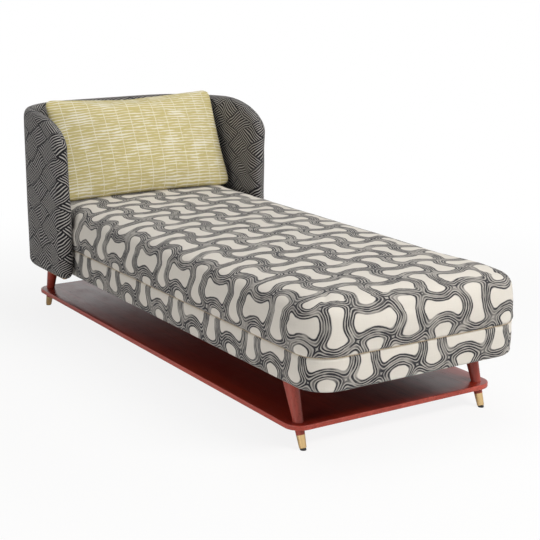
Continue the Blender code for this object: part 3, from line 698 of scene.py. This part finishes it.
def shell_depth(x):
    """Y of the head shell's inner face at a plan X."""
    past = max(abs(x) - BACK_RUN, 0)
    return SHELL_BACK - SHELL_BEND + math.sqrt(max(SHELL_BEND ** 2 - past ** 2, 0))


def panel_mesh():
    """Two flat cushion panels, a little parted, that share the threads of their rim."""
    width, height = PANEL_SIZE
    columns, rows = round(width / PANEL_STEP), round(height / PANEL_STEP)
    reach_x, reach_y = width / 2 - PANEL_CORNER, height / 2 - PANEL_CORNER
    work = bmesh.new()
    layer = work.loops.layers.uv.new("thread")
    sheets, flat = {}, {}
    for side in (1, -1):
        for j in range(rows + 1):
            for i in range(columns + 1):
                if side < 0 and (i in (0, columns) or j in (0, rows)):
                    sheets[side, i, j] = sheets[1, i, j]
                    continue
                u, v = 2 * i / columns - 1, 2 * j / rows - 1
                x, y = u * width / 2, v * height / 2
                over_x, over_y = abs(x) - reach_x, abs(y) - reach_y
                if over_x > 0 and over_y > 0:
                    pull = max(over_x, over_y) / math.hypot(over_x, over_y)
                    x = math.copysign(reach_x + over_x * pull, x)
                    y = math.copysign(reach_y + over_y * pull, y)
                lens = PANEL_LENS * math.sqrt(max((1 - u * u) * (1 - v * v), 0))
                sheets[side, i, j] = work.verts.new((x, y, side * lens))
                flat[sheets[side, i, j]] = (x, y)
    for side in (1, -1):
        for j in range(rows):
            for i in range(columns):
                corners = [sheets[side, *place] for place in ((i, j), (i + 1, j), (i + 1, j + 1), (i, j + 1))]
                face = work.faces.new(corners if side > 0 else corners[::-1])
                for loop in face.loops:
                    loop[layer].uv = flat[loop.vert]
    return finished(work, "lumbar_cushion")


def filled(mesh):
    """The panels blown up by their filling, with the creases that this draws at the rim."""
    pillow = linked("cushion_panels", mesh)
    result = run_cloth(pillow, FILL_FRAMES, FILL_PRESSURE, FILL_CLOTH)
    bpy.data.objects.remove(pillow, do_unlink=True)
    result.name = "lumbar_cushion"
    return result


def drawn_cushion(u, v, side):
    """The cushion's plain form at a share of its width and height: full, with its edges drawn in."""
    half_x, half_y, half_z = CUSHION_HALF
    top_draw = CUSHION_TOP_DRAW if v > 0 else 0.0
    x = half_x * u * (1 - CUSHION_SIDE_DRAW * u * u * (1 - v * v))
    y = half_y * v * (1 - top_draw * v * v * (1 - u * u))
    return Vector((x, y, side * half_z * max((1 - u * u) * (1 - v * v), 0) ** CUSHION_FULLNESS))


def make_cushion(cloth):
    panels = panel_mesh()
    flat = [vertex.co.copy() for vertex in panels.vertices]
    mesh = filled(panels)
    reach = [max(abs(vertex.co[axis]) for vertex in mesh.vertices) for axis in range(3)]
    low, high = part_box("cushion_cover")
    seat = Matrix.Translation((low + high) / 2) @ Matrix.Rotation(CUSHION_TURN, 4, "X")
    for vertex, start in zip(mesh.vertices, flat):
        u, v = start.x * 2 / PANEL_SIZE[0], start.y * 2 / PANEL_SIZE[1]
        drawn = drawn_cushion(u, v, (start.z > 0) - (start.z < 0))
        crease = CUSHION_CREASE[0] + (CUSHION_CREASE[1] - CUSHION_CREASE[0]) * min((v + 1) / CREASE_RISE, 1)
        blown = Vector([vertex.co[axis] * CUSHION_HALF[axis] / reach[axis] for axis in range(3)])
        vertex.co = seat @ drawn.lerp(blown, crease)
    cushion = placed(mesh, cloth)
    smooth = cushion.modifiers.new("smooth", "SUBSURF")
    smooth.levels = smooth.render_levels = 1
    fine = baked(cushion)
    cushion.data = fine
    bpy.data.meshes.remove(mesh)
    cushion.name = fine.name = "lumbar_cushion"
    for vertex in fine.vertices:
        x, y, z = vertex.co
        if z < SHELL_TOP:
            y = min(y, shell_depth(x) - SHELL_CLEARANCE)
        vertex.co = (x, y, max(z, seat_height(x, y) + SEAT_CLEARANCE))
    fine.shade_smooth()
    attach(cushion, "cushion")
    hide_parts("cushion_cover", "cushion_filling")


def make_shelf(edge_finish, face_finish_painted_shade):
    """The board with eased arrises; its two broad faces get a darker lacquer than its edge, as painted shade.
    """
    low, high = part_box("shelf")
    middle = (low + high) / 2
    half_x, half_y = (high.x - low.x) / 2, (high.y - low.y) / 2
    profile = []
    for base, start in ((SHELF_BOTTOM + SHELF_ARRIS, -90), (SHELF_TOP - SHELF_ARRIS, 0)):
        for step in range(5):
            angle = math.radians(start + 90 * step / 4)
            profile.append((SHELF_ARRIS * (1 - math.cos(angle)), base + SHELF_ARRIS * math.sin(angle)))
    work = bmesh.new()
    rings = []
    for inset, height in profile:
        ring = []
        radius = SHELF_CORNER - inset
        for corner, (sx, sy) in enumerate(((1, -1), (1, 1), (-1, 1), (-1, -1))):
            for step in range(17):
                angle = math.radians(-90 + 90 * corner + 90 * step / 16)
                x = middle.x + sx * (half_x - SHELF_CORNER) + radius * math.cos(angle)
                y = middle.y + sy * (half_y - SHELF_CORNER) + radius * math.sin(angle)
                ring.append(work.verts.new((x, y, height)))
        rings.append(ring)
    for lower, upper in zip(rings, rings[1:]):
        for k in range(len(lower)):
            after = (k + 1) % len(lower)
            work.faces.new((lower[k], lower[after], upper[after], upper[k]))
    work.faces.new(rings[0])
    work.faces.new(rings[-1])
    mesh = finished(work, "shelf_board")
    mesh.set_sharp_from_angle(angle=math.radians(40))
    shelf = placed(mesh, edge_finish)
    # The broad faces take the darker lacquer: painted shade of the seat above them
    mesh.materials.append(face_finish_painted_shade)
    for polygon in mesh.polygons:
        polygon.material_index = int(len(polygon.vertices) > 4)
    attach(shelf, "couch")
    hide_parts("shelf")


def stitch_tree(thread):
    """Stitches along a closed path: one short oval of thread for each step of the path."""
    tree, work, given, wanted = shared_group(
        "seam_stitches", {"Path": "Geometry", **dict.fromkeys(STITCH_SIZES, "Float")}, ("Stitches",),
        "GeometryNodeTree", "Geometry")
    curve = work.add("GeometryNodeMeshToCurve", {"Mesh": given["Path"]})
    steps = work.add("GeometryNodeResampleCurve", {"Curve": curve.outputs["Curve"],
                                                   "Length": given["Stitch step"]}, mode="LENGTH")
    ball = work.add("GeometryNodeMeshUVSphere", {"Segments": 8, "Rings": 5, "Radius": 1.0})
    oval = work.joined(given["Thread radius"], given["Thread radius"], given["Stitch length"] * 0.5)
    shape = work.add("GeometryNodeTransform", {"Geometry": ball.outputs["Mesh"], "Scale": oval})
    tangent = work.add("GeometryNodeInputTangent")
    turn = work.add("FunctionNodeAlignRotationToVector", {"Vector": tangent.outputs["Tangent"]}, axis="Z")
    repeat = work.add("GeometryNodeInstanceOnPoints", {"Points": steps.outputs["Curve"],
                                                       "Instance": shape.outputs["Geometry"],
                                                       "Rotation": turn.outputs["Rotation"]})
    whole = work.add("GeometryNodeRealizeInstances", {"Geometry": repeat.outputs["Instances"]})
    paint = work.add("GeometryNodeSetMaterial", {"Geometry": whole.outputs["Geometry"], "Material": thread})
    work.feed(wanted["Stitches"], paint.outputs["Geometry"])
    return tree


def make_seam_stitches(thread):
    """The sewn seam between the two tiers, in front of the wings and out of sight behind them."""
    points = [(*plan_point(run, share, STITCH_INSET), SEAM) for run, share in seat_stations()[:-1]]
    path = bpy.data.meshes.new("seam_path")
    path.from_pydata(points, [(k, (k + 1) % len(points)) for k in range(len(points))], [])
    seam = linked("seam_stitches", path)
    step = seam.modifiers.new("stitches", "NODES")
    step.node_group = stitch_tree(thread)
    for socket in step.node_group.interface.items_tree:
        if socket.name in STITCH_SIZES:
            step[socket.identifier] = STITCH_SIZES[socket.name]
    bpy.context.view_layer.update()
    seam.data = stitches = baked(seam)
    stitches.name = "seam_stitches"
    stitches.shade_smooth()
    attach(seam, "couch")


class Value:
    """A value in a node tree. Sums, differences, products and quotients of it add maths nodes."""

    def __init__(self, work, socket):
        self.work = work
        self.socket = socket

    def __add__(self, other):
        return self.work.calc("ADD", self, other)

    def __sub__(self, other):
        return self.work.calc("SUBTRACT", self, other)

    def __rsub__(self, other):
        return self.work.calc("SUBTRACT", other, self)

    def __mul__(self, other):
        return self.work.calc("MULTIPLY", self, other)

    def __truediv__(self, other):
        return self.work.calc("DIVIDE", self, other)

    def __abs__(self):
        return self.work.calc("ABSOLUTE", self)


class Finish:
    """A node tree with short ways to add its nodes."""

    def __init__(self, tree):
        self.tree = tree

    def add(self, kind, inputs=None, **settings):
        made = self.tree.nodes.new(kind)
        for key, value in settings.items():
            setattr(made, key, value)
        for key, value in (inputs or {}).items():
            self.feed(made.inputs[key], value)
        return made

    def feed(self, socket, value):
        """Links a value or a socket to an input, or sets the input to a constant."""
        if isinstance(value, Value):
            value = value.socket
        if isinstance(value, bpy.types.NodeSocket):
            self.tree.links.new(value, socket)
        else:
            socket.default_value = (*value, 1.0) if socket.type == "RGBA" and len(value) == 3 else value

    def values(self, node):
        return {socket.name: Value(self, socket) for socket in node.outputs}

    def calc(self, operation, *values):
        made = self.add("ShaderNodeMath", dict(enumerate(values)), operation=operation)
        return Value(self, made.outputs[0])

    def ease(self, value, low, high, first=0.0, last=1.0):
        """A smooth step from first to last as value goes from low to high."""
        made = self.add("ShaderNodeMapRange", {"Value": value, "From Min": low, "From Max": high,
                                               "To Min": first, "To Max": last},
                        interpolation_type="SMOOTHSTEP")
        return Value(self, made.outputs["Result"])

    def tint(self, factor, first, second):
        return self.add("ShaderNodeMix", {0: factor, 6: first, 7: second}, data_type="RGBA").outputs[2]

    def cloud(self, vector, scale, detail=2.0, roughness=0.5, output=0):
        """Noise: its value, or with output 1 its colour."""
        made = self.add("ShaderNodeTexNoise", {"Vector": vector, "Scale": scale, "Detail": detail,
                                               "Roughness": roughness})
        return Value(self, made.outputs[output])

    def checks(self, first, second):
        made = self.add("ShaderNodeTexChecker", {"Vector": self.joined(first, second, 0.5), "Scale": 1.0})
        return Value(self, made.outputs["Fac"])

    def stretch(self, vector, scale, location=(0, 0, 0)):
        made = self.add("ShaderNodeMapping", {"Vector": vector, "Scale": scale, "Location": location})
        return made.outputs["Vector"]

    def split(self, vector):
        return self.values(self.add("ShaderNodeSeparateXYZ", {"Vector": vector})).values()

    def joined(self, x, y, z):
        return self.add("ShaderNodeCombineXYZ", {"X": x, "Y": y, "Z": z}).outputs["Vector"]

    def group(self, shared, **inputs):
        made = self.add("ShaderNodeGroup", node_tree=shared)
        for key, value in inputs.items():
            self.feed(made.inputs[key.replace("_", " ")], value)
        return self.values(made)

    def object_place(self):
        return self.add("ShaderNodeTexCoord").outputs["Object"]

    def uv(self, name):
        return self.add("ShaderNodeUVMap", uv_map=name).outputs["UV"]


def new_finish(name, **sockets):
    """A material with its shader's constant sockets set; colour, roughness and normal are linked later."""
    made = bpy.data.materials.new(name)
    made.use_nodes = True
    shader = made.node_tree.nodes["Principled BSDF"]
    for key, value in sockets.items():
        shader.inputs[key.replace("_", " ")].default_value = value
    return made, Finish(made.node_tree), shader


def dress(work, shader, colour, roughness, height, strength, distance):
    bump = work.add("ShaderNodeBump", {"Height": height, "Strength": strength, "Distance": distance})
    for key, value in (("Base Color", colour), ("Roughness", roughness), ("Normal", bump.outputs["Normal"])):
        work.feed(shader.inputs[key], value)


def shared_group(name, inputs, outputs, kind="ShaderNodeTree", result="Float"):
    """An empty node group: its tree, a way to fill it, what it is given and what it has to feed."""
    tree = bpy.data.node_groups.new(name, kind)
    for label, socket in inputs.items():
        tree.interface.new_socket(label, in_out="INPUT", socket_type="NodeSocket" + socket)
    for label in outputs:
        tree.interface.new_socket(label, in_out="OUTPUT", socket_type="NodeSocket" + result)
    work = Finish(tree)
    return tree, work, work.values(work.add("NodeGroupInput")), work.add("NodeGroupOutput").inputs


def plain_weave():
    """Yarns that pass over and under each other, and the unevenness of their thickness."""
    tree, work, given, wanted = shared_group(
        "plain_weave", {"Thread": "Vector", "Yarns per metre": "Float"}, ("Height", "Tone"))
    x, y, _ = work.split(given["Thread"])
    warp, weft = x * given["Yarns per metre"], y * given["Yarns per metre"]
    warp_round = abs(work.calc("SINE", warp * math.pi))
    weft_round = abs(work.calc("SINE", weft * math.pi))
    warp_top = warp_round * (weft_round * 0.45 + 0.55)
    weft_top = weft_round * (warp_round * 0.45 + 0.55)
    over = work.checks(warp, weft)
    slub_x = work.cloud(work.stretch(given["Thread"], (900, 30, 1)), 1.0)
    slub_y = work.cloud(work.stretch(given["Thread"], (30, 900, 1)), 1.0)
    tone = (slub_x + slub_y) * 0.5
    work.feed(wanted["Height"], warp_top * over + weft_top * (1.0 - over) + tone * 0.6)
    work.feed(wanted["Tone"], tone)
    return tree


def pen_drift():
    """How far a hand-drawn line strays, in two directions."""
    tree, work, given, wanted = shared_group(
        "pen_drift", {"Place": "Vector", "Scale": "Float", "Reach": "Float"}, ("Sideways", "Upwards"))
    colour = work.cloud(given["Place"], given["Scale"], output=1)
    parts = work.values(work.add("ShaderNodeSeparateColor", {"Color": colour}))
    for label, part in (("Sideways", "Red"), ("Upwards", "Green")):
        work.feed(wanted[label], (parts[part] - 0.5) * given["Reach"])
    return tree


def wood_grain():
    """Figure, pores and fine streaks of straight-grained wood that runs along the vector's Y."""
    tree, work, given, wanted = shared_group(
        "wood_grain", {"Place": "Vector", "Grain scale": "Float"}, ("Figure", "Pores", "Streaks"))
    scaled = work.add("ShaderNodeVectorMath", operation="SCALE")
    work.feed(scaled.inputs[0], given["Place"])
    work.feed(scaled.inputs["Scale"], given["Grain scale"])
    for label, stretch, detail, roughness, low, high in (("Figure", (16, 1.1, 16), 4.0, 0.55, 0.32, 0.68),
                                                         ("Streaks", (150, 3.0, 150), 3.0, 0.6, 0.30, 0.70),
                                                         ("Pores", (420, 14, 420), 1.0, 0.5, 0.60, 0.72)):
        mask = work.cloud(work.stretch(scaled.outputs["Vector"], stretch), 1.0, detail, roughness)
        work.feed(wanted[label], work.ease(mask, low, high))
    return tree


def handling_marks():
    """Soft smudges and fine scuffs that touching leaves on a hard finish."""
    tree, work, given, wanted = shared_group("handling_marks", {"Place": "Vector"}, ("Smudge", "Scuff"))
    for label, scale, detail, roughness, low in (("Smudge", 13.0, 4.0, 0.6, 0.35),
                                                 ("Scuff", 260.0, 3.0, 0.65, 0.45)):
        work.feed(wanted[label], work.ease(work.cloud(given["Place"], scale, detail, roughness), low, 0.75))
    return tree


WEAVE = plain_weave()
DRIFT = pen_drift()
GRAIN = wood_grain()
MARKS = handling_marks()


def new_cloth(name, sheen, yarns):
    """A woven cloth to be coloured: its material, a way to fill its tree, its shader and its weave."""
    made, work, shader = new_finish(name, Sheen_Weight=sheen, Sheen_Roughness=0.5, Specular_IOR_Level=0.25)
    return made, work, shader, work.group(WEAVE, Thread=work.uv("thread"), Yarns_per_metre=yarns)


def dress_cloth(work, shader, weave, colour, height):
    dress(work, shader, colour, weave["Tone"] * 0.12 + 0.80, height, 0.35, 0.0006)


def wave_distance(work, level, along):
    """Distance, in cells, from lines one cell apart that swing up and down, each second one the other way."""
    turn = along * math.pi
    swing = work.calc("SINE", turn) * WAVE_RISE
    even = work.calc("PINGPONG", level - swing, 1.0)
    odd = 1.0 - work.calc("PINGPONG", level + swing, 1.0)
    slope = work.calc("COSINE", turn) * (WAVE_RISE * math.pi)
    return work.calc("MINIMUM", even, odd) / work.calc("SQRT", slope * slope + 1.0)


def seat_cloth():
    """Cream cloth with a net of waves that cross, drawn in bundles of charcoal pen strokes."""
    made, work, shader, weave = new_cloth("seat_cloth_waves", 0.12, 620.0)
    place = work.object_place()
    across, along, _ = work.split(work.uv("print"))
    slow = work.group(DRIFT, Place=place, Scale=8.0, Reach=0.22)
    across = across * 2.0 + slow["Sideways"]
    along = along * 2.0 + slow["Upwards"]
    nearest = work.calc("SMOOTH_MIN", wave_distance(work, along, across),
                        wave_distance(work, across, along * -1.0), 0.22)
    quick = work.group(DRIFT, Place=place, Scale=26.0, Reach=0.0060)
    inked = nearest * PRINT_CELL + quick["Sideways"]
    half_band = quick["Upwards"] * 0.6 + BAND_HALF
    band = work.ease(abs(inked) - half_band, -0.0010, 0.0010, 1.0, 0.0)
    lap = inked / STROKE_PITCH
    number = work.calc("ROUND", lap)
    numbers = work.joined(number, number, number)
    own = work.add("ShaderNodeVectorMath", {0: place, 1: numbers}).outputs["Vector"]
    stray = work.group(DRIFT, Place=own, Scale=30.0, Reach=0.7)
    nib = stray["Upwards"] * 0.40 + 0.27
    strokes = work.ease(abs(lap - number + stray["Sideways"]) - nib, 0.0, 0.12, 1.0, 0.0)
    strokes = strokes * work.ease(work.cloud(own, 14.0), 0.30, 0.52, 0.55, 1.0)
    shade = work.ease(work.cloud(place, 16.0, 3.0, 0.6), 0.25, 0.75, 0.32, 0.58)
    ink = band * work.calc("MAXIMUM", strokes, shade)
    ground = work.tint(weave["Tone"], (0.66, 0.62, 0.56), (0.82, 0.785, 0.72))
    dress_cloth(work, shader, weave, work.tint(ink, ground, (0.030, 0.030, 0.036)), weave["Height"])
    return made


def head_cloth():
    """Near-black cloth with fine pale lines in a slanting basket weave."""
    made, work, shader, weave = new_cloth("head_cloth_basket", 0.10, 640.0)
    place = work.object_place()
    x, y, _ = work.split(work.uv("print"))
    slow = work.group(DRIFT, Place=place, Scale=9.0, Reach=0.046)
    level, upright = x * math.sin(BASKET_SLANT), y * math.cos(BASKET_SLANT)
    first = (upright + level + slow["Sideways"]) / BASKET_BLOCK
    second = (upright - level + slow["Upwards"]) / BASKET_BLOCK
    turned = work.checks(first, second)
    count = first * turned + second * (1.0 - turned)
    quick = work.group(DRIFT, Place=place, Scale=45.0, Reach=1.2)
    phase = count * (2 * math.pi * BASKET_BLOCK / BASKET_PITCH) + quick["Sideways"]
    lines = work.ease(work.calc("COSINE", phase) + work.cloud(place, 90.0) * 0.5, 0.50, 1.00)
    gap = work.calc("MINIMUM", work.calc("PINGPONG", first, 0.5), work.calc("PINGPONG", second, 0.5))
    lines = lines * work.ease(gap, 0.010, 0.034)
    ground = work.tint(weave["Tone"], (0.005, 0.005, 0.007), (0.014, 0.014, 0.017))
    pale = work.tint(weave["Tone"], (0.34, 0.325, 0.31), (0.54, 0.52, 0.49))
    dress_cloth(work, shader, weave, work.tint(lines, ground, pale), weave["Height"])
    return made


def cushion_cloth():
    """Olive-yellow cloth with cream slub lines across it and thin pin lines up it."""
    made, work, shader, weave = new_cloth("cushion_cloth_slub", 0.15, 600.0)
    thread = work.uv("thread")
    x, y, _ = work.split(thread)
    slow = work.group(DRIFT, Place=work.stretch(thread, (1, 2.2, 1)), Scale=9.0, Reach=0.012)
    quick = work.group(DRIFT, Place=work.stretch(thread, (1, 3, 1)), Scale=32.0, Reach=0.006)
    wave = work.calc("COSINE", (y + slow["Upwards"] + quick["Upwards"]) * (2 * math.pi / SLUB_PITCH))
    slub = work.cloud(work.stretch(thread, (16, 150, 1)), 1.0, 3.0, 0.6)
    patch = work.cloud(work.stretch(thread, (11, 15, 1), (0.37, 0.11, 0)), 1.0, 1.0)
    swell = work.ease(patch, 0.50, 0.72, 0.0, 0.75)
    cream = work.ease(slub * 2.6 - 1.3 + wave * 0.75 + swell, 0.20, 0.85)
    pin = work.calc("PINGPONG", x + quick["Sideways"], PIN_HALF_STEP)
    broken = work.cloud(work.stretch(thread, (60, 30, 1)), 1.0, 1.0)
    pins = work.ease(pin, 0.0007, 0.0018, 1.0, 0.0) * work.ease(broken, 0.28, 0.42)
    marks = work.calc("MAXIMUM", cream, pins * 0.85)
    ground = work.tint(weave["Tone"], (0.53, 0.445, 0.180), (0.66, 0.575, 0.270))
    pale = work.tint(weave["Tone"], (0.79, 0.75, 0.58), (0.89, 0.86, 0.72))
    dress_cloth(work, shader, weave, work.tint(marks, ground, pale), weave["Height"] + marks * 0.5)
    return made


def lacquer(name, grain_axis, tones):
    """Red-brown satin lacquer over straight-grained wood."""
    made, work, shader = new_finish(name, Coat_Weight=0.15, Coat_Roughness=0.22, Specular_IOR_Level=0.32)
    place = work.object_place()
    x, y, z = work.split(place)
    grain_place = place if grain_axis == "Y" else work.joined(x, z, y)
    grain = work.group(GRAIN, Place=grain_place, Grain_scale=1.0)
    marks = work.group(MARKS, Place=place)
    body = work.tint(grain["Figure"], *tones)
    body = work.tint(grain["Streaks"] * 0.35, body, tuple(0.6 * part for part in tones[0]))
    body = work.tint(grain["Pores"] * 0.45, body, (0.12, 0.012, 0.008))
    rough = marks["Smudge"] * 0.07 + 0.30 + grain["Pores"] * 0.12
    dress(work, shader, body, rough, grain["Streaks"] * 0.5 - grain["Pores"], 0.12, 0.0004)
    return made


def frame_timber():
    made, work, shader = new_finish("frame_timber_planed", Specular_IOR_Level=0.3)
    place = work.object_place()
    grain = work.group(GRAIN, Place=place, Grain_scale=0.8)
    marks = work.group(MARKS, Place=place)
    body = work.tint(grain["Figure"], (0.50, 0.33, 0.18), (0.66, 0.48, 0.29))
    body = work.tint(grain["Streaks"] * 0.4, body, (0.40, 0.25, 0.13))
    dress(work, shader, body, marks["Smudge"] * 0.15 + 0.62, grain["Streaks"], 0.25, 0.0005)
    return made


def satin_brass():
    made, work, shader = new_finish("satin_brass_turned", Metallic=1.0)
    place = work.object_place()
    marks = work.group(MARKS, Place=place)
    rings = work.cloud(work.stretch(place, (3, 3, 900)), 1.0, 1.0)
    colour = work.tint(marks["Smudge"], (0.70, 0.51, 0.26), (0.58, 0.39, 0.18))
    dress(work, shader, colour, marks["Scuff"] * 0.06 + (rings * 0.05 + 0.26), rings, 0.03, 0.0001)
    return made


def plain_finish(name, masks, tones, rough, bump, **sockets):
    """A finish of two tones. masks gives three values: what blends the tones, what roughens the surface and
    what raises it."""
    made, work, shader = new_finish(name, **sockets)
    blend, wear, raised = masks(work, work.object_place())
    dress(work, shader, work.tint(blend, *tones), wear * rough[0] + rough[1], raised, *bump)
    return made


def worn(blend, wear):
    def masks(work, place):
        marks = work.group(MARKS, Place=place)
        return marks[blend], marks[wear], marks["Scuff"]
    return masks


def glide_plastic():
    return plain_finish("glide_plastic_black", worn("Scuff", "Smudge"),
                        ((0.010, 0.010, 0.011), (0.035, 0.035, 0.036)), (0.2, 0.42), (0.2, 0.0003),
                        Specular_IOR_Level=0.4)


def zinc_steel():
    return plain_finish("zinc_steel_plated", worn("Smudge", "Scuff"),
                        ((0.58, 0.59, 0.62), (0.48, 0.48, 0.47)), (0.18, 0.30), (0.15, 0.0002), Metallic=1.0)


def dust_cloth():
    def masks(work, place):
        fibre = work.cloud(place, 700.0, 4.0, 0.7)
        return fibre, work.cloud(place, 40.0), fibre

    return plain_finish("dust_cloth_felted", masks, ((0.012, 0.012, 0.013), (0.045, 0.045, 0.047)),
                        (0.15, 0.82), (0.4, 0.0006), Specular_IOR_Level=0.2)


def seam_thread():
    return plain_finish("seam_thread_tan", lambda work, place: [work.cloud(place, 900.0)] * 3,
                        ((0.46, 0.35, 0.23), (0.68, 0.56, 0.41)), (0.2, 0.65), (0.3, 0.0003),
                        Specular_IOR_Level=0.3)


def finish_frame_parts():
    """Better finishes for the solids that stay in sight, and for those inside."""
    edge_wood = lacquer("lacquer_shelf_edge", "Y", RED_LACQUER)
    # The shelf's faces get a darker copy of the edge's lacquer: painted shade
    face_wood_painted_shade = lacquer("lacquer_shelf_faces", "Y", PAINTED_SHADE_LACQUER)
    # The legs get a darker copy of the edge's lacquer: painted shade under the seat
    leg_wood_painted_shade = lacquer("lacquer_legs", "Z", LEG_LACQUER_PAINTED_SHADE)
    brass, plastic, timber = satin_brass(), glide_plastic(), frame_timber()
    steel, dust = zinc_steel(), dust_cloth()
    finishes = {"leg_": leg_wood_painted_shade, "toe_": leg_wood_painted_shade, "ferrule_": brass, "glide_": plastic, "tie_rod_": steel,
                "head_bolt_": steel, "dust_cover": dust, "shelf": edge_wood}
    for name, node in NODES.items():
        finish = next((made for start, made in finishes.items() if name.startswith(start)), timber)
        for place in node.material_slots:
            place.material = finish
    return edge_wood, face_wood_painted_shade


def ray_kinds(work):
    """1 for what the camera sees straight, and 1 for what it sees in a gloss or through glass."""
    path = work.values(work.add("ShaderNodeLightPath"))
    return path["Is Camera Ray"], work.calc("MAXIMUM", path["Is Glossy Ray"], path["Is Transmission Ray"])


def make_stage():
    """A pale floor that keeps the object's shadow and goes over into white away from it."""
    grid = bmesh.new()
    bmesh.ops.create_grid(grid, x_segments=1, y_segments=1, size=14.0)
    floor = finished(grid, "studio_floor", smooth=False)
    made, work, shader = new_finish("studio_floor_white", Base_Color=(0.86, 0.86, 0.86, 1), Roughness=1.0,
                                    Specular_IOR_Level=0.0)
    white = work.add("ShaderNodeEmission", {"Color": (1, 1, 1, 1), "Strength": 1.0})
    x, y, _ = work.split(work.object_place())
    away = work.calc("SQRT", x * x + y * y)
    straight, mirrored = ray_kinds(work)
    share = straight * work.ease(away, 0.9, 2.6, 0.86, 1.0) + mirrored * work.ease(away, 0.9, 2.6, 0.15, 1.0)
    mixed = work.add("ShaderNodeMixShader", {0: share, 1: shader.outputs[0], 2: white.outputs[0]})
    work.feed(made.node_tree.nodes["Material Output"].inputs["Surface"], mixed.outputs[0])
    placed(floor, made)


def make_world():
    world = bpy.data.worlds.new("studio_air")
    world.use_nodes = True
    bpy.context.scene.world = world
    world.node_tree.nodes.clear()
    work = Finish(world.node_tree)
    air = work.add("ShaderNodeBackground", {"Color": (1.0, 0.98, 0.96, 1), "Strength": 0.15})
    white = work.add("ShaderNodeBackground", {"Color": (1, 1, 1, 1), "Strength": 1.0})
    seen = work.calc("MAXIMUM", *ray_kinds(work))
    mixed = work.add("ShaderNodeMixShader", {0: seen, 1: air.outputs[0], 2: white.outputs[0]})
    work.add("ShaderNodeOutputWorld", {"Surface": mixed.outputs[0]})


def make_lamps():
    for name, (place, target, size, power, colour) in LAMPS.items():
        data = bpy.data.lights.new(name, "AREA")
        data.shape = "RECTANGLE"
        data.size, data.size_y = size
        data.energy = power
        data.color = colour
        lamp = linked(name, data)
        lamp.location = place
        lamp.rotation_euler = (Vector(target) - Vector(place)).to_track_quat("-Z", "Y").to_euler()


def make_camera():
    data = bpy.data.cameras.new("photo_camera")
    data.sensor_width = 36
    data.lens = CAMERA_LENS
    data.shift_y = CAMERA_SHIFT
    camera = linked("photo_camera", data)
    camera.location = CAMERA_PLACE
    camera.rotation_euler = (math.radians(90 - CAMERA_PITCH), 0, math.radians(CAMERA_TURN))
    bpy.context.scene.camera = camera


def main():
    bpy.context.scene.view_settings.view_transform = "Standard"
    make_camera()
    make_world()
    make_lamps()
    make_stage()
    edge_wood, face_wood_painted_shade = finish_frame_parts()
    seat = seat_cloth()
    make_mattress(seat)
    make_base_tier(seat)
    make_head_shell(head_cloth())
    make_shelf(edge_wood, face_wood_painted_shade)
    make_seam_stitches(seam_thread())
    make_cushion(cushion_cloth())


main()
